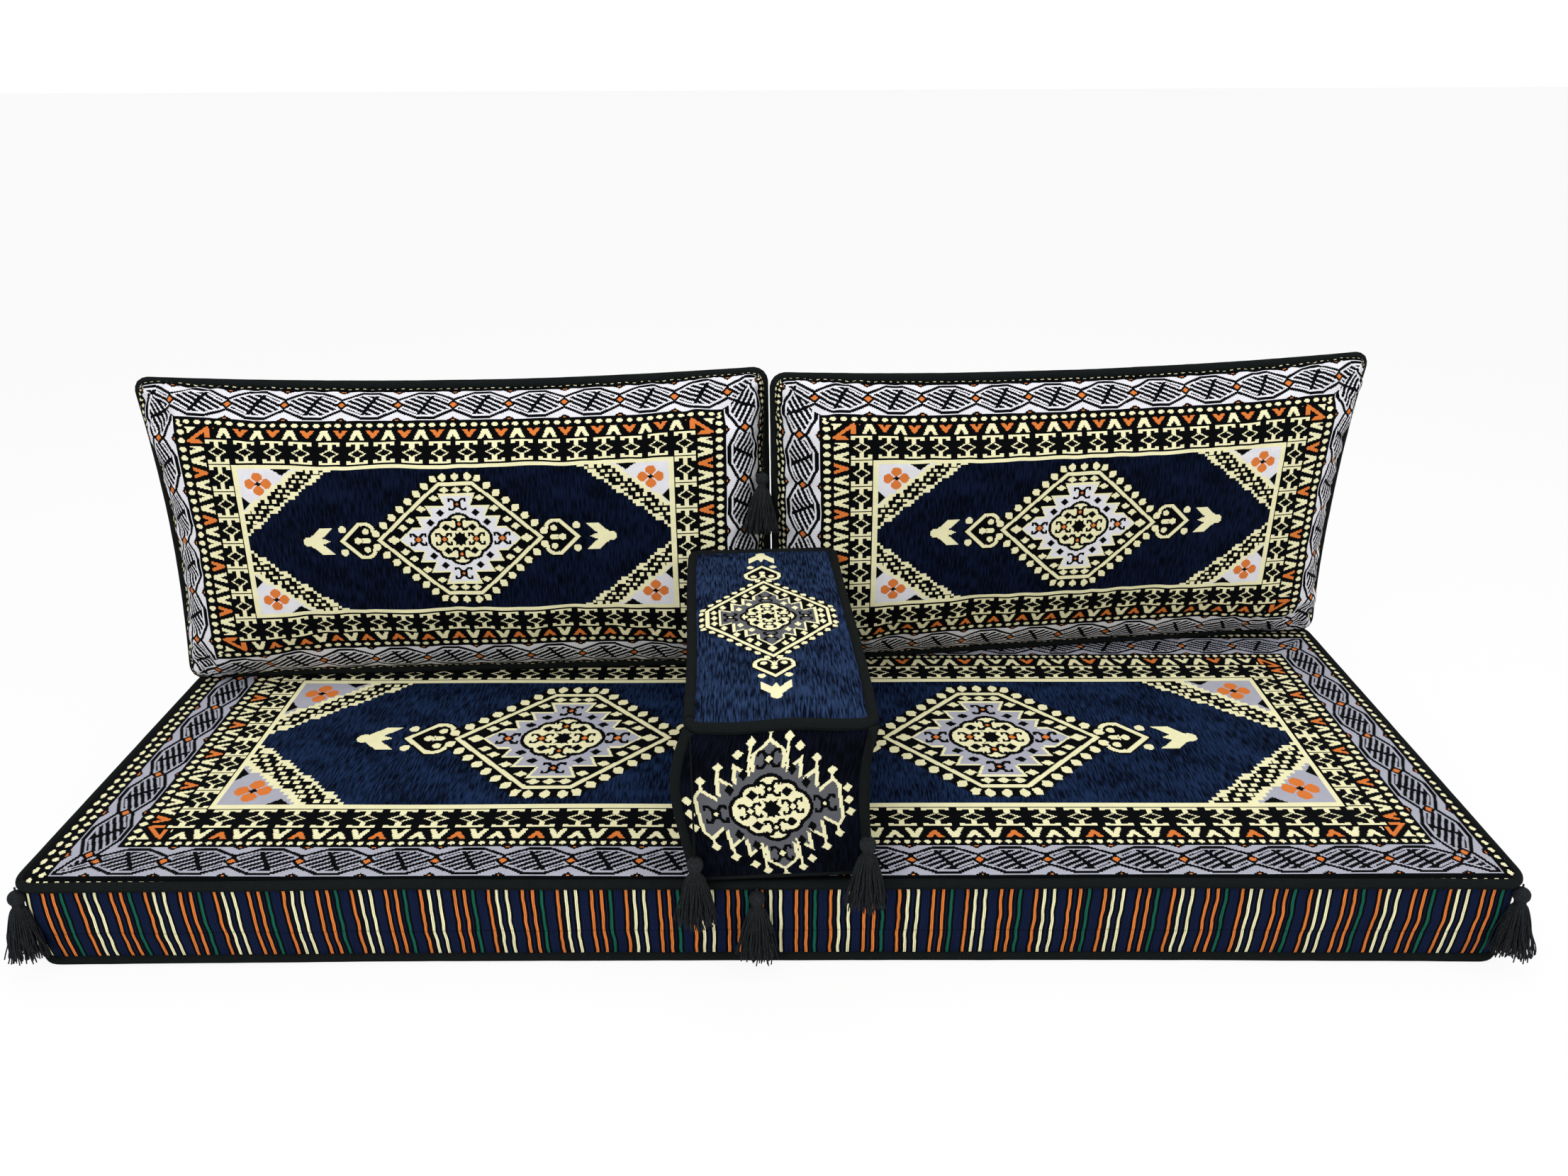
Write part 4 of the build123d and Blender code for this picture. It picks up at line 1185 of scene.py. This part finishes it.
def strand_tree():
    """Many strands that start packed in a disc and spread as they hang, with their own waves."""
    group = bpy.data.node_groups.new("tassel_strands", "GeometryNodeTree")
    for label, kind, value in (
        ("Count", "NodeSocketInt", 110), ("Length", "NodeSocketFloat", 0.078),
        ("Top radius", "NodeSocketFloat", 0.0072), ("End radius", "NodeSocketFloat", 0.019),
        ("Strand radius", "NodeSocketFloat", 0.0009), ("Wave", "NodeSocketFloat", 0.0016),
        ("Seed", "NodeSocketFloat", 1.0), ("Material", "NodeSocketMaterial", None),
    ):
        socket = group.interface.new_socket(label, in_out="INPUT", socket_type=kind)
        if value is not None:
            socket.default_value = value
    group.interface.new_socket("Geometry", in_out="OUTPUT", socket_type="NodeSocketGeometry")
    nodes, link = group.nodes, group.links.new
    given, out = nodes.new("NodeGroupInput").outputs, nodes.new("NodeGroupOutput")
    count, length, top_radius, end_radius, wave, seed = (
        Yarn(group, given[label]) for label in ("Count", "Length", "Top radius", "End radius", "Wave", "Seed"))

    line = nodes.new("GeometryNodeCurvePrimitiveLine")
    line.inputs["End"].default_value = (0, 0, 1)
    dense = nodes.new("GeometryNodeResampleCurve")
    dense.inputs["Count"].default_value = 14
    link(line.outputs[0], dense.inputs[0])
    many = nodes.new("GeometryNodeDuplicateElements")
    many.domain = "SPLINE"
    link(dense.outputs[0], many.inputs[0])
    link(given["Count"], many.inputs["Amount"])
    place = nodes.new("GeometryNodeInputPosition")
    split = nodes.new("ShaderNodeSeparateXYZ")
    link(place.outputs[0], split.inputs[0])
    t, number = Yarn(group, split.outputs[2]), Yarn(group, many.outputs["Duplicate Index"])
    random = nodes.new("FunctionNodeRandomValue")
    random.data_type = "FLOAT_VECTOR"
    random.inputs["Min"].default_value = (-1, -1, -1)
    link(number.socket, random.inputs["ID"])
    link(seed.stitch("FLOOR").socket, random.inputs["Seed"])
    chance = nodes.new("ShaderNodeSeparateXYZ")
    link(random.outputs[0], chance.inputs[0])
    first, second, third = (Yarn(group, chance.outputs[n]) for n in range(3))

    opened = t.stitch("POWER", 0.62)
    radius = top_radius * (1 - opened) + end_radius * opened
    radius = radius * ((number + 0.5) / count).stitch("SQRT") * (first * 0.2 * t + 1)
    angle = number * 2.39996 + second * 0.3 * t
    wave_x, wave_y = (t * 9 + second * 9).stitch("SINE"), (t * 11 + third * 9).stitch("SINE")
    join = nodes.new("ShaderNodeCombineXYZ")
    link((radius * angle.stitch("COSINE") + wave * t * wave_x).socket, join.inputs[0])
    link((radius * angle.stitch("SINE") + wave * t * wave_y).socket, join.inputs[1])
    link((t * (length * (third * 0.06 + 0.94))).socket, join.inputs[2])
    move = nodes.new("GeometryNodeSetPosition")
    link(many.outputs[0], move.inputs[0])
    link(join.outputs[0], move.inputs["Position"])
    ring = nodes.new("GeometryNodeCurvePrimitiveCircle")
    ring.inputs["Resolution"].default_value = 5
    link(given["Strand radius"], ring.inputs["Radius"])
    solid = nodes.new("GeometryNodeCurveToMesh")
    solid.inputs["Fill Caps"].default_value = True
    link(move.outputs[0], solid.inputs["Curve"])
    link(ring.outputs[0], solid.inputs["Profile Curve"])
    real = nodes.new("GeometryNodeRealizeInstances")
    link(solid.outputs[0], real.inputs[0])
    paint = nodes.new("GeometryNodeSetMaterial")
    link(real.outputs[0], paint.inputs[0])
    link(given["Material"], paint.inputs["Material"])
    link(paint.outputs[0], out.inputs[0])
    return group


strands = strand_tree()


def skirt(seed):
    """The points and faces of a tassel's loose strands, down from the origin."""
    holder = bpy.data.objects.new("strand_holder", bpy.data.meshes.new("strand_holder"))
    bpy.context.scene.collection.objects.link(holder)
    modifier = holder.modifiers.new("strands", "NODES")
    modifier.node_group = strands
    given = {item.name: item.identifier for item in strands.interface.items_tree if item.in_out == "INPUT"}
    modifier[given["Count"]] = 170
    modifier[given["Length"]] = skirt_length
    modifier[given["End radius"]] = skirt_radius
    modifier[given["Seed"]] = float(seed)
    modifier[given["Material"]] = black_strand
    grown = bpy.data.meshes.new_from_object(holder.evaluated_get(bpy.context.evaluated_depsgraph_get()))
    points = np.zeros(len(grown.vertices) * 3)
    grown.vertices.foreach_get("co", points)
    points = points.reshape(-1, 3) * (1, skirt_flatness, 1)
    faces = [tuple(face.vertices) for face in grown.polygons]
    holder.modifiers.clear()
    bpy.data.objects.remove(holder)
    bpy.data.meshes.remove(grown)
    return points, faces


def wound(profile, around, groove, turns, twist=0.0):
    """Rings of points round the Z axis, with grooves like the yarns that are wound or drawn there."""
    angle = np.linspace(0, 2 * math.pi, around, endpoint=False)
    rings = []
    for radius, height in profile:
        r = radius * (1 - groove * (0.5 - 0.5 * np.cos(turns * angle + twist * height)))
        rings.append(np.stack([r * np.cos(angle), r * np.sin(angle), np.full(around, height)], -1))
    faces = []
    for ring in range(len(rings) - 1):
        for n in range(around):
            a, b = ring * around + n, ring * around + (n + 1) % around
            faces.append((a, a + around, b + around, b))
    faces.append(tuple(range(around)))
    faces.append(tuple((len(rings) - 1) * around + n for n in range(around))[::-1])
    return np.concatenate(rings), faces


def face_outwards(piece):
    """Turns every face of a closed piece outwards."""
    shape = bmesh.new()
    shape.from_mesh(piece.data)
    bmesh.ops.recalc_face_normals(shape, faces=shape.faces)
    shape.to_mesh(piece.data)
    shape.free()


def tassel(body, cord_length, seed):
    """One tassel, along the way that it hangs: head, wrap and skirt, and its neck where no cord shows."""
    pivot, down = hanging(body)
    side = np.cross(down, (0, 1, 0))
    side /= np.linalg.norm(side)
    behind = np.cross(down, side)
    wrap_top = cord_length + head_height
    parts = []
    if cord_length <= neck_length:
        parts.append(wound([(cord_diameter / 2, 0), (cord_diameter / 2, cord_length + tuck_in)], 12, 0, 1))
    head = [(head_diameter / 2 * math.sin(t) ** 0.85 + 0.0004, cord_length + head_half * (1 - math.cos(t)))
            for t in np.linspace(0.03, 2.55, 22)]
    parts.append(wound(head, 80, 0.09, 20, 140))
    wrap = [((wrap_diameter / 2) * (1 - wrap_groove * (0.5 - 0.5 * math.cos(t * wrap_turns * 2 * math.pi))),
             wrap_top - 0.001 + (wrap_height + tuck_in) * t) for t in np.linspace(0, 1, 33)]
    parts.append(wound(wrap, 32, 0.02, 9))
    strand_points, strand_faces = skirt(seed)
    parts.append((strand_points + (0, 0, wrap_top + wrap_height - tuck_in), strand_faces))
    points, faces, start = [], [], 0
    for more, its_faces in parts:
        points.append(pivot + more[:, :1] * side + more[:, 1:2] * behind + more[:, 2:] * down)
        faces += [tuple(start + n for n in face) for face in its_faces]
        start += len(more)
    piece = mesh_object(f"{body}_yarn", np.concatenate(points), faces, [black_strand])
    face_outwards(piece)
    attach(piece, body)
    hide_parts(body)


for number, body in enumerate((
    "front_left_tassel", "front_middle_tassel", "front_right_tassel",
    "armrest_left_tassel", "armrest_right_tassel", "cushion_tassel",
)):
    tassel(body, cord_lengths.get(body, neck_length), number + 1)
